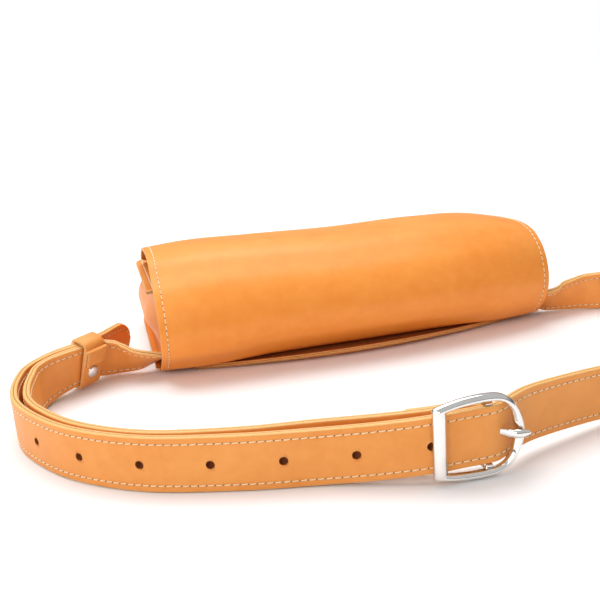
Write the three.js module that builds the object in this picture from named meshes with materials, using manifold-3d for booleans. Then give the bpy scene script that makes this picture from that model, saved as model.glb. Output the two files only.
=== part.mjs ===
// Leather belt bag lying on its back, with its belt buckled into a loop on edge before its mouth.
// Millimetres, +Z up. The bag's length runs along X and its mouth and the belt loop face -Y.
// Every leather piece is a thin wall: the bag is hollow between its back, front and gusset.
import * as THREE from 'three';
import { mergeVertices } from 'three/addons/utils/BufferGeometryUtils.js';
import Module from 'manifold-3d';

const wasm = await Module();
wasm.setup();

// Driving dimensions
const clearance = 0.3;
const joinOverlap = 0.05;

const flapLength = 240;
const bodyLength = 246;
const bodyDepth = 135;
const bodyCorner = 22;
const sheetWall = 2;
const mouthHeight = 51;
const bottomHeight = 44;
const frontCrown = 3;
const mouthInset = 9;

const rollHeight = 70;
const rollBow = 8;
const rollFoot = 3.2;
const rollBelly = 17.5;
const flapCorner = 26;
const flapRest = 0.5;

const gussetWall = 1.8;
const gussetFlange = 5.5;
const gussetCrease = 9;
const gussetBulge = 10.9;

const pocketWall = 2.4;
const pocketLength = 200;
const pocketMouthInset = 8;
const pocketBow = 19.5;
const pocketLift = 3;
const pocketMargin = 5;

const strapWidth = 25;
const strapWall = 3;
const foldWall = 1.5;
const foldReturn = 32;
const loopLeft = 194.8;
const loopRight = 212;
const loopFront = 167.5;
const tipReach = 40.5;
const strapSeatLeft = 5;
const strapSeatRight = 5;
const strapSewn = 15;
const holeDiameter = 3.6;
const holePitch = 30;
const holeFromBar = 6.2;
const holeCount = 8;

const barPlace = 3.5;
const barRadius = 1.75;
const frameLength = 40;
const frameHeight = 36.6;
const frameDepth = 3.5;
const barShare = 0.61;
const prongHeight = 3.6;
const prongThick = 2.2;
const prongRing = 1.4;
const lugReach = 0.93;
const lugDepthShare = 0.4;

const keeperWidth = 14;
const keeperWall = 2.2;
const keeperRound = 3;
const keeperLap = 11;
const keeperSlack = 0.9;
const keeperRaise = 5;
const rivetRadius = 3.8;
const rivetRise = 1.4;
const rivetGap = 1.5;
const tipRounding = 0.46;

// Levels that follow from the sizes
const backLevel = pocketWall + clearance;
const backTop = backLevel + sheetWall;
const strapSeat = backTop + clearance + strapWall / 2;
const keeperLift = keeperWall + clearance;
const keeperInner = strapWall + keeperSlack;
const buckleLift = (frameHeight - strapWidth) / 2;
const barDepth = strapWall / 2 + clearance + foldWall + clearance + barRadius;
const frameBack = barDepth;
const bodyHalf = bodyLength / 2;

// Looks of the materials
const leatherFlap = new THREE.MeshStandardMaterial({ color: 0xf0a050, roughness: 0.55, metalness: 0 });
const leatherBody = new THREE.MeshStandardMaterial({ color: 0xe0914b, roughness: 0.6, metalness: 0 });
const leatherBelt = new THREE.MeshStandardMaterial({ color: 0xeda055, roughness: 0.6, metalness: 0 });
const polishedSteel = new THREE.MeshStandardMaterial({ color: 0xd8d8dc, roughness: 0.15, metalness: 1 });

const up = new THREE.Vector3(0, 0, 1);
const mix = THREE.MathUtils.lerp;
const smooth = THREE.MathUtils.smoothstep;

// Solids and booleans

// A bare geometry of shared points as a solid that can be joined and cut.
function toSolid(geometry) {
  const bare = geometry.clone();
  bare.deleteAttribute('normal');
  bare.deleteAttribute('uv');
  const merged = mergeVertices(bare, 1e-4);
  return new wasm.Manifold(new wasm.Mesh({
    numProp: 3,
    vertProperties: new Float32Array(merged.attributes.position.array),
    triVerts: new Uint32Array(merged.index.array),
  }));
}

function toGeometry(solid) {
  const mesh = solid.getMesh();
  const geometry = new THREE.BufferGeometry();
  geometry.setAttribute('position', new THREE.BufferAttribute(mesh.vertProperties, 3));
  geometry.setIndex(new THREE.BufferAttribute(mesh.triVerts, 1));
  geometry.computeVertexNormals();
  return geometry;
}

// A closed geometry from points and faces, turned so that its faces point out.
function closedGeometry(points, faces) {
  let volume = 0;
  for (const [a, b, c] of faces) {
    volume += points[a].dot(new THREE.Vector3().crossVectors(points[b], points[c]));
  }
  const outward = volume > 0 ? faces : faces.map(([a, b, c]) => [a, c, b]);
  const geometry = new THREE.BufferGeometry().setFromPoints(points);
  geometry.setIndex(outward.flat());
  geometry.computeVertexNormals();
  return geometry;
}

// A wall of even thickness behind a grid of surface points, rows[i][j].
function sheet(rows, wall) {
  const last = rows.length - 1;
  const width = rows[0].length;
  const points = rows.flat();
  const behind = [];
  rows.forEach((row, i) => {
    row.forEach((point, j) => {
      const along = rows[Math.min(i + 1, last)][j].clone().sub(rows[Math.max(i - 1, 0)][j]);
      const across = row[Math.min(j + 1, width - 1)].clone().sub(row[Math.max(j - 1, 0)]);
      const normal = along.cross(across).normalize();
      behind.push(point.clone().addScaledVector(normal, wall));
    });
  });
  const back = points.length;
  const at = (i, j) => i * width + j;
  const faces = [];
  for (let i = 0; i < last; i++) {
    for (let j = 0; j < width - 1; j++) {
      const [a, b, c, d] = [at(i, j), at(i + 1, j), at(i + 1, j + 1), at(i, j + 1)];
      faces.push([a, c, b], [a, d, c]);
      faces.push([back + a, back + b, back + c], [back + a, back + c, back + d]);
    }
  }
  const rim = [];
  for (let j = 0; j < width - 1; j++) rim.push([at(0, j), at(0, j + 1)]);
  for (let i = 0; i < last; i++) rim.push([at(i, width - 1), at(i + 1, width - 1)]);
  for (let j = width - 1; j > 0; j--) rim.push([at(last, j), at(last, j - 1)]);
  for (let i = last; i > 0; i--) rim.push([at(i, 0), at(i - 1, 0)]);
  for (const [a, b] of rim) faces.push([a, back + b, b], [a, back + a, back + b]);
  return closedGeometry([...points, ...behind], faces);
}

// Rings of points joined in turn. A closed loop joins its last ring to its first.
function loftLoop(rings) {
  const size = rings[0].length;
  const faces = [];
  rings.forEach((ring, i) => {
    const next = (i + 1) % rings.length;
    for (let j = 0; j < size; j++) {
      const k = (j + 1) % size;
      const [a, b, c, d] = [i * size + j, next * size + j, next * size + k, i * size + k];
      faces.push([a, b, c], [a, c, d]);
    }
  });
  return closedGeometry(rings.flat(), faces);
}

function mesh(name, geometry, material) {
  const piece = new THREE.Mesh(geometry, material);
  piece.name = name;
  return piece;
}

// A smooth value between the rows of a table that has a column of places.
function fromTable(rows, place, key, value) {
  const next = rows.findIndex((row) => row[key] >= place);
  if (next === 0) return rows[0][value];
  if (next === -1) return rows[rows.length - 1][value];
  const [low, high] = [rows[next - 1], rows[next]];
  return mix(low[value], high[value], smooth(place, low[key], high[key]));
}

// Half width of a panel with a rounded corner, at a distance from its straight end.
function roundedHalf(half, radius, fromEnd) {
  if (fromEnd >= radius) return half;
  return half - radius + Math.sqrt(radius ** 2 - (radius - fromEnd) ** 2);
}

// Bag body

// Height of the front panel's top face, crowned between the two sides.
function frontTop(x, y) {
  const across = THREE.MathUtils.clamp(x / bodyHalf, -1, 1);
  const along = THREE.MathUtils.clamp((y - mouthInset) / (bodyDepth - mouthInset), 0, 1);
  const crown = frontCrown * (1 - across ** 2) * Math.sin(Math.PI * mix(0.25, 0.95, along));
  return mix(mouthHeight, bottomHeight, along) + crown;
}

// Shares of the roll's height, belly, bow and raised foot along the bag, from its left end.
const rollRows = [
  { at: -1.0, height: 0.972, belly: 1.1, bow: -0.2, foot: 0 },
  { at: -0.8, height: 0.998, belly: 1.02, bow: 0.32, foot: 0 },
  { at: -0.45, height: 0.985, belly: 0.95, bow: 0.75, foot: 0.95 },
  { at: 0.0, height: 0.958, belly: 0.95, bow: 1.0, foot: 1.1 },
  { at: 0.5, height: 0.958, belly: 0.88, bow: 0.8, foot: 0.7 },
  { at: 0.8, height: 0.925, belly: 0.7, bow: 0.52, foot: 0 },
  { at: 1.0, height: 0.845, belly: 0.57, bow: 0, foot: 0 },
];

// The back panel, the roll over the mouth and the flap, as shares of the body's depth, the
// roll's belly, its rise above the back panel, its bow, its raised foot and how far it rests
// on the front.
const flapRows = [
  { deep: 1.0, belly: 0, rise: 0, bow: 0, foot: 0, rest: 0 },
  { deep: 0.93, belly: 0, rise: 0, bow: 0, foot: 0, rest: 0 },
  { deep: 0.6, belly: 0, rise: 0, bow: 0, foot: 0, rest: 0 },
  { deep: 0.25, belly: 0, rise: 0, bow: 0, foot: 0, rest: 0 },
  { deep: 0.15, belly: 0, rise: 0, bow: 0.35, foot: 0, rest: 0 },
  { deep: 0.1, belly: 0, rise: 0, bow: 0.55, foot: 0.15, rest: 0 },
  { deep: 0.04, belly: 0, rise: 0.008, bow: 0.85, foot: 0.8, rest: 0 },
  { deep: 0, belly: 0, rise: 0.085, bow: 1, foot: 1, rest: 0 },
  { deep: 0, belly: 0.55, rise: 0.2, bow: 1, foot: 1, rest: 0 },
  { deep: 0, belly: 0.9, rise: 0.34, bow: 1, foot: 0.8, rest: 0 },
  { deep: 0, belly: 1.0, rise: 0.46, bow: 1, foot: 0.5, rest: 0 },
  { deep: 0, belly: 0.88, rise: 0.6, bow: 1, foot: 0.2, rest: 0 },
  { deep: 0, belly: 0.46, rise: 0.76, bow: 1, foot: 0, rest: 0 },
  { deep: 0.01, belly: 0, rise: 0.87, bow: 0.95, foot: 0, rest: 0 },
  { deep: 0.07, belly: 0, rise: 0.955, bow: 0.85, foot: 0, rest: 0 },
  { deep: 0.17, belly: 0, rise: 1.0, bow: 0.7, foot: 0, rest: 0 },
  { deep: 0.32, belly: 0, rise: 0.992, bow: 0.45, foot: 0, rest: 0 },
  { deep: 0.48, belly: 0, rise: 0.95, bow: 0.2, foot: 0, rest: 0 },
  { deep: 0.62, belly: 0, rise: 0.87, bow: 0.1, foot: 0, rest: 0 },
  { deep: 0.74, belly: 0, rise: 0.78, bow: 0, foot: 0, rest: 0.3 },
  { deep: 0.84, belly: 0, rise: 0.7, bow: 0, foot: 0, rest: 0.85 },
  { deep: 0.91, belly: 0, rise: 0.66, bow: 0, foot: 0, rest: 1 },
];

function flapPoint(row, across, x) {
  const height = rollHeight * fromTable(rollRows, across, 'at', 'height');
  const belly = rollBelly * fromTable(rollRows, across, 'at', 'belly');
  const bow = rollBow * fromTable(rollRows, across, 'at', 'bow');
  const foot = rollFoot * fromTable(rollRows, across, 'at', 'foot');
  const y = row.deep * bodyDepth - row.belly * belly - row.bow * bow;
  const rolled = mix(backLevel, height, row.rise) + row.foot * foot;
  const rested = frontTop(x, y) + flapRest + sheetWall;
  const level = mix(rolled, rested, row.rest);
  return new THREE.Vector3(x, y, row.rest > 0 ? Math.max(level, rested) : level);
}

function makeFlapAndBack() {
  const columns = 15;
  const profileSteps = 41;
  const profiles = [];
  for (let j = 0; j < columns; j++) {
    const across = mix(-1, 1, j / (columns - 1));
    const points = flapRows.map((row) => flapPoint(row, across, across * flapLength / 2));
    const profile = new THREE.CatmullRomCurve3(points, false, 'centripetal');
    profiles.push(profile.getSpacedPoints(profileSteps));
  }
  let total = 0;
  for (let i = 1; i <= profileSteps; i++) total += profiles[0][i].distanceTo(profiles[0][i - 1]);
  const rows = [];
  for (let i = 0; i <= profileSteps; i++) {
    const share = i / profileSteps;
    const fromBottom = share * total;
    const fromFlapEdge = (1 - share) * total;
    const backHalf = roundedHalf(bodyHalf, bodyCorner, fromBottom);
    const flapHalf = roundedHalf(flapLength / 2, flapCorner, fromFlapEdge);
    const half = mix(backHalf, flapHalf, smooth(fromBottom, bodyDepth * 0.75, bodyDepth * 1.05));
    rows.push(profiles.map((profile, j) => {
      const x = mix(-half, half, j / (columns - 1));
      return new THREE.Vector3(x, profile[i].y, profile[i].z);
    }));
  }
  return mesh('flap_and_back_panel', sheet(rows, sheetWall), leatherFlap);
}

function makeFrontPanel() {
  const columns = 15;
  const stations = [0, 0.2, 0.4, 0.6, 0.8, 0.86, 0.92, 0.96, 0.99, 1];
  const rows = stations.map((share) => {
    const y = mix(mouthInset, bodyDepth, share);
    const half = roundedHalf(bodyHalf, bodyCorner, bodyDepth - y);
    return Array.from({ length: columns }, (_, j) => {
      const x = mix(-half, half, j / (columns - 1));
      return new THREE.Vector3(x, y, frontTop(x, y));
    });
  });
  return mesh('front_panel', sheet(rows, sheetWall), leatherBody);
}

// Section of the gusset from its lower flange to its upper, as shares of the flange's width,
// of the crease or bulge at that height, and of the height between the two panels.
const gussetRows = [
  { inset: 0.0, crease: 0, rise: 0 },
  { inset: 0.78, crease: 0, rise: 0 },
  { inset: 1.0, crease: 0.03, rise: 0.07 },
  { inset: 1.0, crease: 0.3, rise: 0.25 },
  { inset: 1.0, crease: 0.62, rise: 0.42 },
  { inset: 1.0, crease: 0.55, rise: 0.56 },
  { inset: 1.0, crease: 0.22, rise: 0.76 },
  { inset: 1.0, crease: 0.02, rise: 0.93 },
  { inset: 0.78, crease: 0, rise: 1 },
  { inset: 0.0, crease: 0, rise: 1 },
];

// Places round the panel's edge from the left end of the mouth to the right: x, y, outward
// direction and how creased the gusset is there. Round the bottom it bulges out instead.
function gussetPath() {
  const places = [];
  const straight = bodyDepth - bodyCorner - mouthInset;
  const sideSteps = 6;
  const cornerSteps = 6;
  const bottomSteps = 8;
  for (let i = 0; i < sideSteps; i++) {
    const share = i / sideSteps;
    const crease = 1 - smooth(share, 0.02, 0.42);
    places.push({ x: -bodyHalf, y: mouthInset + straight * share, turn: Math.PI, crease });
  }
  for (let i = 0; i < cornerSteps; i++) {
    const turn = Math.PI - (Math.PI / 2) * (i / cornerSteps);
    const x = -bodyHalf + bodyCorner + bodyCorner * Math.cos(turn);
    const y = bodyDepth - bodyCorner + bodyCorner * Math.sin(turn);
    places.push({ x, y, turn, crease: 0 });
  }
  const left = [...places];
  for (let i = 0; i <= bottomSteps; i++) {
    const x = mix(-bodyHalf + bodyCorner, bodyHalf - bodyCorner, i / bottomSteps);
    places.push({ x, y: bodyDepth, turn: Math.PI / 2, crease: 0 });
  }
  for (const place of left.reverse()) {
    places.push({ ...place, x: -place.x, turn: Math.PI - place.turn });
  }
  return places;
}

// The straps pass through the gusset's sides, and the scraps that they cut off are left out.
function makeGusset(cutters) {
  const low = backTop + clearance;
  const rows = gussetPath().reverse().map((place) => {
    const high = frontTop(place.x, place.y) - sheetWall - clearance;
    const push = mix(-gussetBulge, gussetCrease, place.crease);
    return gussetRows.map((row) => {
      const inset = row.inset * gussetFlange + row.crease * push;
      const x = place.x - inset * Math.cos(place.turn);
      const y = place.y - inset * Math.sin(place.turn);
      return new THREE.Vector3(x, y, mix(low, high, row.rise));
    });
  });
  let solid = toSolid(sheet(rows, gussetWall));
  for (const cutter of cutters) solid = solid.subtract(cutter);
  const whole = solid.decompose().reduce((best, piece) => (piece.volume() > best.volume() ? piece : best));
  return mesh('gusset', toGeometry(whole), leatherBody);
}

// The slip pocket's panel lies flat under the back panel, and its mouth bows out and curls up.
function makePocketPanel() {
  const columns = 15;
  const stations = [0, 0.02, 0.05, 0.1, 0.5, 1];
  const bottom = bodyDepth - pocketMargin;
  const rows = stations.map((share) => Array.from({ length: columns }, (_, j) => {
    const across = mix(-1, 1, j / (columns - 1));
    const middle = 1 - across ** 2;
    const mouth = pocketMouthInset - pocketBow * middle;
    const lift = pocketLift * middle * (1 - smooth(share, 0, 0.05));
    return new THREE.Vector3(across * pocketLength / 2, mix(mouth, bottom, share), lift);
  }));
  rows.reverse();
  return mesh('back_pocket_panel', sheet(rows, pocketWall), leatherBody);
}

// Belt

// A strap's rows are places of its lower edge: x, y, height of that edge, lean in degrees, and
// the gap between the two straps where they run together. Upright is 90, more leans inward, and
// 180 lies flat with the outer face up.

// Stretch at the tip: shares of the way from the bag's end to the loop's left reach, of the
// tip's reach and of the height that the keeper holds the straps at.
const tipRows = [
  { out: 0.205, back: 1.074, lift: 0.64, lean: 102, gap: 0 },
  { out: 0.295, back: 0.914, lift: 0.68, lean: 104, gap: 0 },
  { out: 0.384, back: 0.711, lift: 0.76, lean: 105, gap: 0 },
  { out: 0.4485, back: 0.543, lift: 0.88, lean: 107, gap: 0 },
  { out: 0.518, back: 0.415, lift: 0.96, lean: 109, gap: 0 },
  { out: 0.589, back: 0.296, lift: 1.0, lean: 110, gap: 0.5, name: 'keeper' },
  { out: 0.6755, back: 0.153, lift: 0.96, lean: 108.5, gap: 0.6 },
  { out: 0.7785, back: 0.01, lift: 0.68, lean: 101, gap: 1.2 },
  { out: 0.8747, back: -0.148, lift: 0.28, lean: 93, gap: 1.6 },
];

// Left turn and front: shares of the loop's left reach and of its front reach, and of the
// buckle's lift.
const turnRows = [
  { left: 0.98, front: 0.078, lift: 0.02, lean: 90, gap: 2.4 },
  { left: 0.993, front: 0.143, lift: 0, lean: 90, gap: 3.2 },
  { left: 1.0, front: 0.25, lift: 0, lean: 90, gap: 3.2 },
  { left: 0.989, front: 0.359, lift: 0, lean: 90, gap: 2.6 },
  { left: 0.948, front: 0.473, lift: 0, lean: 90, gap: 2.2 },
  { left: 0.863, front: 0.614, lift: 0, lean: 90, gap: 1.9 },
  { left: 0.717, front: 0.746, lift: 0, lean: 90, gap: 1.9 },
  { left: 0.523, front: 0.835, lift: 0, lean: 90, gap: 3.2 },
  { left: 0.349, front: 0.893, lift: 0.08, lean: 90, gap: 5.2 },
  { left: 0.225, front: 0.95, lift: 0.45, lean: 90, gap: 5.0 },
];

// Through the buckle: shares of the frame's length along the belt and inward from the bar.
const buckleRows = [
  { along: -0.54, inward: 0.05, lift: 0.82, lean: 90, gap: 3.8 },
  { along: -0.26, inward: 0.0125, lift: 0.97, lean: 90, gap: 2.8 },
  { along: 0, inward: 0, lift: 1, lean: 90, gap: 0, name: 'bar' },
  { along: 0.09, inward: 0.011, lift: 1, lean: 90, gap: 0 },
  { along: 0.17, inward: 0.05, lift: 1, lean: 90, gap: 0 },
  { along: 0.28, inward: 0.105, lift: 1, lean: 90, gap: 0 },
  { along: 0.4, inward: 0.175, lift: 1, lean: 90, gap: 0 },
  { along: 0.555, inward: 0.255, lift: 0.98, lean: 90, gap: 0 },
  { along: 0.78, inward: 0.33, lift: 0.93, lean: 90, gap: 0 },
];

// Right of the buckle and the plain turn: shares of the right reach, the front reach and the
// buckle's lift.
const rightRows = [
  { right: 0.245, front: 0.884, lift: 0.7, lean: 90, gap: 0 },
  { right: 0.35, front: 0.858, lift: 0.45, lean: 90, gap: 0 },
  { right: 0.5, front: 0.834, lift: 0.15, lean: 90, gap: 0 },
  { right: 0.66, front: 0.806, lift: 0, lean: 90, gap: 0 },
  { right: 0.81, front: 0.735, lift: 0, lean: 90, gap: 0 },
  { right: 0.935, front: 0.6, lift: 0, lean: 90, gap: 0 },
  { right: 1.0, front: 0.43, lift: 0, lean: 90, gap: 0 },
  { right: 0.995, front: 0.25, lift: 0, lean: 90, gap: 0 },
  { right: 0.935, front: 0.105, lift: 0, lean: 90, gap: 0 },
];

// From a loop reach in to a bag's end: shares of the way out from the end, of the distance of
// the sewn end's far edge from the mouth line and of its seat on the back panel.
const rightEndRows = [
  { out: 0.67, back: -0.12, lift: 0.05, lean: 93 },
  { out: 0.5, back: 0.04, lift: 0.06, lean: 98 },
  { out: 0.416, back: 0.12, lift: 0.08, lean: 101 },
  { out: 0.326, back: 0.24, lift: 0.11, lean: 107.5 },
  { out: 0.242, back: 0.32, lift: 0.14, lean: 117 },
  { out: 0.157, back: 0.4, lift: 0.18, lean: 125 },
  { out: 0.079, back: 0.45, lift: 0.3, lean: 137 },
  { out: 0.017, back: 0.55, lift: 0.74, lean: 151 },
  { out: -0.022, back: 0.633, lift: 1.0, lean: 158 },
];
const leftEndRows = [
  { out: -0.021, back: 0.72, lift: 0.99, lean: 162 },
  { out: 0.0487, back: 0.667, lift: 0.74, lean: 152 },
  { out: 0.111, back: 0.65, lift: 0.49, lean: 141 },
  { out: 0.202, back: 0.667, lift: 0.36, lean: 127.5 },
  { out: 0.2855, back: 0.67, lift: 0.34, lean: 120 },
  { out: 0.362, back: 0.633, lift: 0.37, lean: 115 },
  { out: 0.443, back: 0.56, lift: 0.48, lean: 111.5 },
  { out: 0.497, back: 0.455, lift: 0.61, lean: 110 },
];

// The sewn end inside the bag: shares of its length and of the far edge's distance.
const sewnRows = [
  { deep: 1, back: 1, lean: 180 },
  { deep: 0.5, back: 0.93, lean: 171 },
];

function strapRow(x, y, z, row) {
  return { place: new THREE.Vector3(x, y, z), lean: row.lean, gap: row.gap ?? 0, name: row.name };
}

// Inward is the side of the loop's hollow, to the left of the way that the strap runs.
function inwardOf(direction) {
  return new THREE.Vector3(-direction.y, direction.x, 0).normalize();
}

// The way a strap's width points from its lower edge, for the way that it runs and its lean.
function acrossOf(run, lean) {
  const turn = THREE.MathUtils.degToRad(lean);
  return inwardOf(run).multiplyScalar(-Math.cos(turn)).addScaledVector(up, Math.sin(turn));
}

// Out of a leaning strap's inner face.
function innerFaceOf(run, lean) {
  const level = new THREE.Vector3(run.x, run.y, 0).normalize();
  return acrossOf(run, lean).cross(level);
}

function sewnEnd(side, seat) {
  return sewnRows.map((row) => {
    const x = side * (bodyHalf - row.deep * strapSewn);
    return strapRow(x, row.back * (seat + strapWidth), strapSeat, row);
  });
}

// The strap with the holes, from its tip round the loop to the bag's right end.
function holeStrapRows() {
  const rows = [];
  for (const row of tipRows) {
    const x = -mix(bodyHalf, loopLeft, row.out);
    rows.push(strapRow(x, row.back * tipReach, row.lift * keeperRaise, row));
  }
  for (const row of turnRows) {
    rows.push(strapRow(-row.left * loopLeft, -row.front * loopFront, row.lift * buckleLift, row));
  }
  for (const row of buckleRows) {
    const x = row.along * frameLength - barPlace;
    const y = row.inward * frameLength - loopFront;
    rows.push(strapRow(x, y, row.lift * buckleLift, row));
  }
  for (const row of rightRows) {
    rows.push(strapRow(row.right * loopRight, -row.front * loopFront, row.lift * buckleLift, row));
  }
  for (const row of rightEndRows) {
    const x = mix(bodyHalf, loopRight, row.out);
    rows.push(strapRow(x, row.back * (strapSeatRight + strapWidth), row.lift * strapSeat, row));
  }
  rows.push(...sewnEnd(1, strapSeatRight).reverse());
  return rows;
}

// The strap that carries the buckle: from the bag's left end it joins the other inside it,
// and keeps the gap of each shared row until the centre bar.
function buckleStrapRows(holeRows) {
  const rows = sewnEnd(-1, strapSeatLeft);
  for (const row of leftEndRows) {
    const x = -mix(bodyHalf, loopLeft, row.out);
    rows.push(strapRow(x, row.back * (strapSeatLeft + strapWidth), row.lift * strapSeat, row));
  }
  const keeper = holeRows.findIndex((row) => row.name === 'keeper');
  const bar = holeRows.findIndex((row) => row.name === 'bar');
  for (let i = keeper; i <= bar; i++) {
    const direction = new THREE.Vector3().subVectors(holeRows[i + 1].place, holeRows[i - 1].place);
    const step = i === bar ? barDepth : strapWall + holeRows[i].gap;
    const inner = innerFaceOf(direction, holeRows[i].lean);
    const place = holeRows[i].place.clone().addScaledVector(inner, step);
    rows.push({ place, lean: holeRows[i].lean, gap: 0 });
  }
  return rows;
}

// Stations along a strap: its lower edge, the way it runs, the way its width points and the
// way its outer face looks.
function strapStations(rows, step) {
  const places = new THREE.CatmullRomCurve3(rows.map((row) => row.place), false, 'centripetal');
  const stations = [];
  let length = 0;
  rows.slice(1).forEach((row, k) => {
    const pieces = Math.max(1, Math.round(row.place.distanceTo(rows[k].place) / step));
    for (let i = k ? 1 : 0; i <= pieces; i++) {
      const share = (k + i / pieces) / (rows.length - 1);
      const place = places.getPoint(share);
      place.z = Math.max(place.z, 0);
      const run = places.getTangent(share);
      const across = acrossOf(run, mix(rows[k].lean, row.lean, i / pieces));
      const outward = new THREE.Vector3().crossVectors(run, across).normalize();
      if (stations.length) length += place.distanceTo(stations[stations.length - 1].place);
      stations.push({ place, run, across, outward, length });
    }
  });
  return stations;
}

// A flat strap through its stations, grown on every side where it serves as a cutter, and
// drawn in at its first stations by a rounded tip.
function strapSolid(stations, { wall = strapWall, offset = 0, grown = 0, tip = 0 } = {}) {
  const rows = stations.map((station) => {
    const half = roundedHalf(strapWidth / 2, tip, station.length) + grown;
    const middle = station.place.clone().addScaledVector(station.across, strapWidth / 2);
    middle.addScaledVector(station.outward, offset - wall / 2 - grown);
    return [-half, half].map((reach) => middle.clone().addScaledVector(station.across, reach));
  });
  return toSolid(sheetAlong(rows, stations, wall + 2 * grown));
}

// As a sheet, but its thickness follows each station's outward way.
function sheetAlong(rows, stations, wall) {
  const rings = rows.map(([low, high], i) => {
    const lift = stations[i].outward.clone().multiplyScalar(wall);
    return [low, high, high.clone().add(lift), low.clone().add(lift)];
  });
  const faces = [[0, 1, 2], [0, 2, 3]];
  const last = (rings.length - 1) * 4;
  faces.push([last, last + 2, last + 1], [last, last + 3, last + 2]);
  for (let i = 0; i < rings.length - 1; i++) {
    for (let j = 0; j < 4; j++) {
      const k = (j + 1) % 4;
      const [a, b, c, d] = [i * 4 + j, i * 4 + 4 + j, i * 4 + 4 + k, i * 4 + k];
      faces.push([a, b, c], [a, c, d]);
    }
  }
  return closedGeometry(rings.flat(), faces);
}

// An upright round bar, standing on its middle.
function uprightCylinder(radius, height, sides) {
  return new THREE.CylinderGeometry(radius, radius, height, sides).rotateX(Math.PI / 2);
}

// The buckle's own frame: x along the belt, y away from the viewer, z up, at the bar's middle.
function buckleMatrix(barRow) {
  const middle = barRow.place.clone().addScaledVector(up, strapWidth / 2);
  return new THREE.Matrix4().makeTranslation(middle.x, middle.y + barDepth, middle.z);
}

// The upper half of the frame's outline, from the straight bar to the round end, as shares of
// the frame's length and of half its height.
const frameRows = [
  { along: 0.0, outer: 0.8, inset: 0.145, inner: 0.725 },
  { along: 0.02, outer: 0.845, inset: 0.15, inner: 0.742 },
  { along: 0.16, outer: 0.925, inset: 0.24, inner: 0.775 },
  { along: 0.34, outer: 0.985, inset: 0.38, inner: 0.8 },
  { along: 0.56, outer: 1.0, inset: 0.55, inner: 0.81 },
  { along: 0.72, outer: 0.95, inset: 0.68, inner: 0.79 },
  { along: 0.83, outer: 0.82, inset: 0.77, inner: 0.7 },
  { along: 0.92, outer: 0.6, inset: 0.84, inner: 0.5 },
  { along: 0.98, outer: 0.31, inset: 0.872, inner: 0.25 },
  { along: 1.0, outer: 0.0, inset: 0.888, inner: 0.0 },
];

// Section of a frame bar: shares of the way from its outer edge to its inner, and of its depth.
const frameSection = [
  { inward: 0, depth: 0 },
  { inward: 0.02, depth: 0.5 },
  { inward: 0.38, depth: 1 },
  { inward: 0.72, depth: 1 },
  { inward: 1, depth: 0.6 },
  { inward: 1, depth: 0 },
];

function makeBuckleFrame(matrix) {
  const half = frameHeight / 2;
  const left = -barShare * frameLength;
  const loop = frameRows.map((row) => ({ ...row, side: 1 }));
  loop.push(...frameRows.slice(0, -1).reverse().map((row) => ({ ...row, side: -1 })));
  const rings = loop.map((row) => frameSection.map(({ inward, depth }) => new THREE.Vector3(
    left + frameLength * mix(row.along, row.inset, inward),
    -frameBack - frameDepth * depth,
    row.side * half * mix(row.outer, row.inner, inward),
  )));
  const lugLow = strapWidth / 2 + 2 * clearance;
  const lugHigh = half * lugReach;
  const lugDepth = frameBack + frameDepth * lugDepthShare + barRadius;
  let solid = toSolid(loftLoop(rings));
  solid = solid.add(toSolid(uprightCylinder(barRadius, 2 * lugHigh, 12)));
  for (const side of [-1, 1]) {
    const lug = new THREE.BoxGeometry(2 * barRadius, lugDepth, lugHigh - lugLow);
    lug.translate(0, barRadius - lugDepth / 2, side * (lugLow + lugHigh) / 2);
    solid = solid.add(toSolid(lug));
  }
  return mesh('buckle_frame', toGeometry(solid).applyMatrix4(matrix), polishedSteel);
}

// The prong's middle line from the bar over the round end: shares of the frame's length along
// the belt and of its rise in front of the bar.
const prongRows = [
  { along: 0.0, rise: 0.0 },
  { along: 0.12, rise: 0.46 },
  { along: 0.21, rise: 0.86 },
  { along: 0.275, rise: 1.02 },
  { along: 0.36, rise: 1.03 },
  { along: 0.405, rise: 1.0 },
];

function prongSolid(grown) {
  const rise = frameBack + frameDepth + clearance + prongThick / 2;
  const line = prongRows.map((row) => new THREE.Vector2(row.along * frameLength, -row.rise * rise));
  const sides = [1, -1].map((side) => line.map((point, i) => {
    const run = line[Math.min(i + 1, line.length - 1)].clone().sub(line[Math.max(i - 1, 0)]).normalize();
    const taper = i === line.length - 1 ? 0.6 : 1;
    const reach = side * (taper * prongThick / 2 + grown);
    return new THREE.Vector2(point.x - run.y * reach, point.y + run.x * reach);
  }));
  const shape = new THREE.Shape([...sides[0], ...sides[1].reverse()]);
  const height = prongHeight + 2 * grown;
  const shank = new THREE.ExtrudeGeometry(shape, { depth: height, bevelEnabled: false });
  shank.translate(0, 0, -height / 2);
  const ring = uprightCylinder(barRadius + clearance + prongRing + grown, height, 14);
  return toSolid(shank).add(toSolid(ring));
}

function makeProng(matrix) {
  const bore = toSolid(uprightCylinder(barRadius + clearance, strapWidth, 14));
  return mesh('buckle_prong', toGeometry(prongSolid(0).subtract(bore)).applyMatrix4(matrix), polishedSteel);
}

// Turns a solid of the buckle's own frame into the belt's frame.
function placed(solid, matrix) {
  return toSolid(toGeometry(solid).applyMatrix4(matrix));
}

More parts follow.
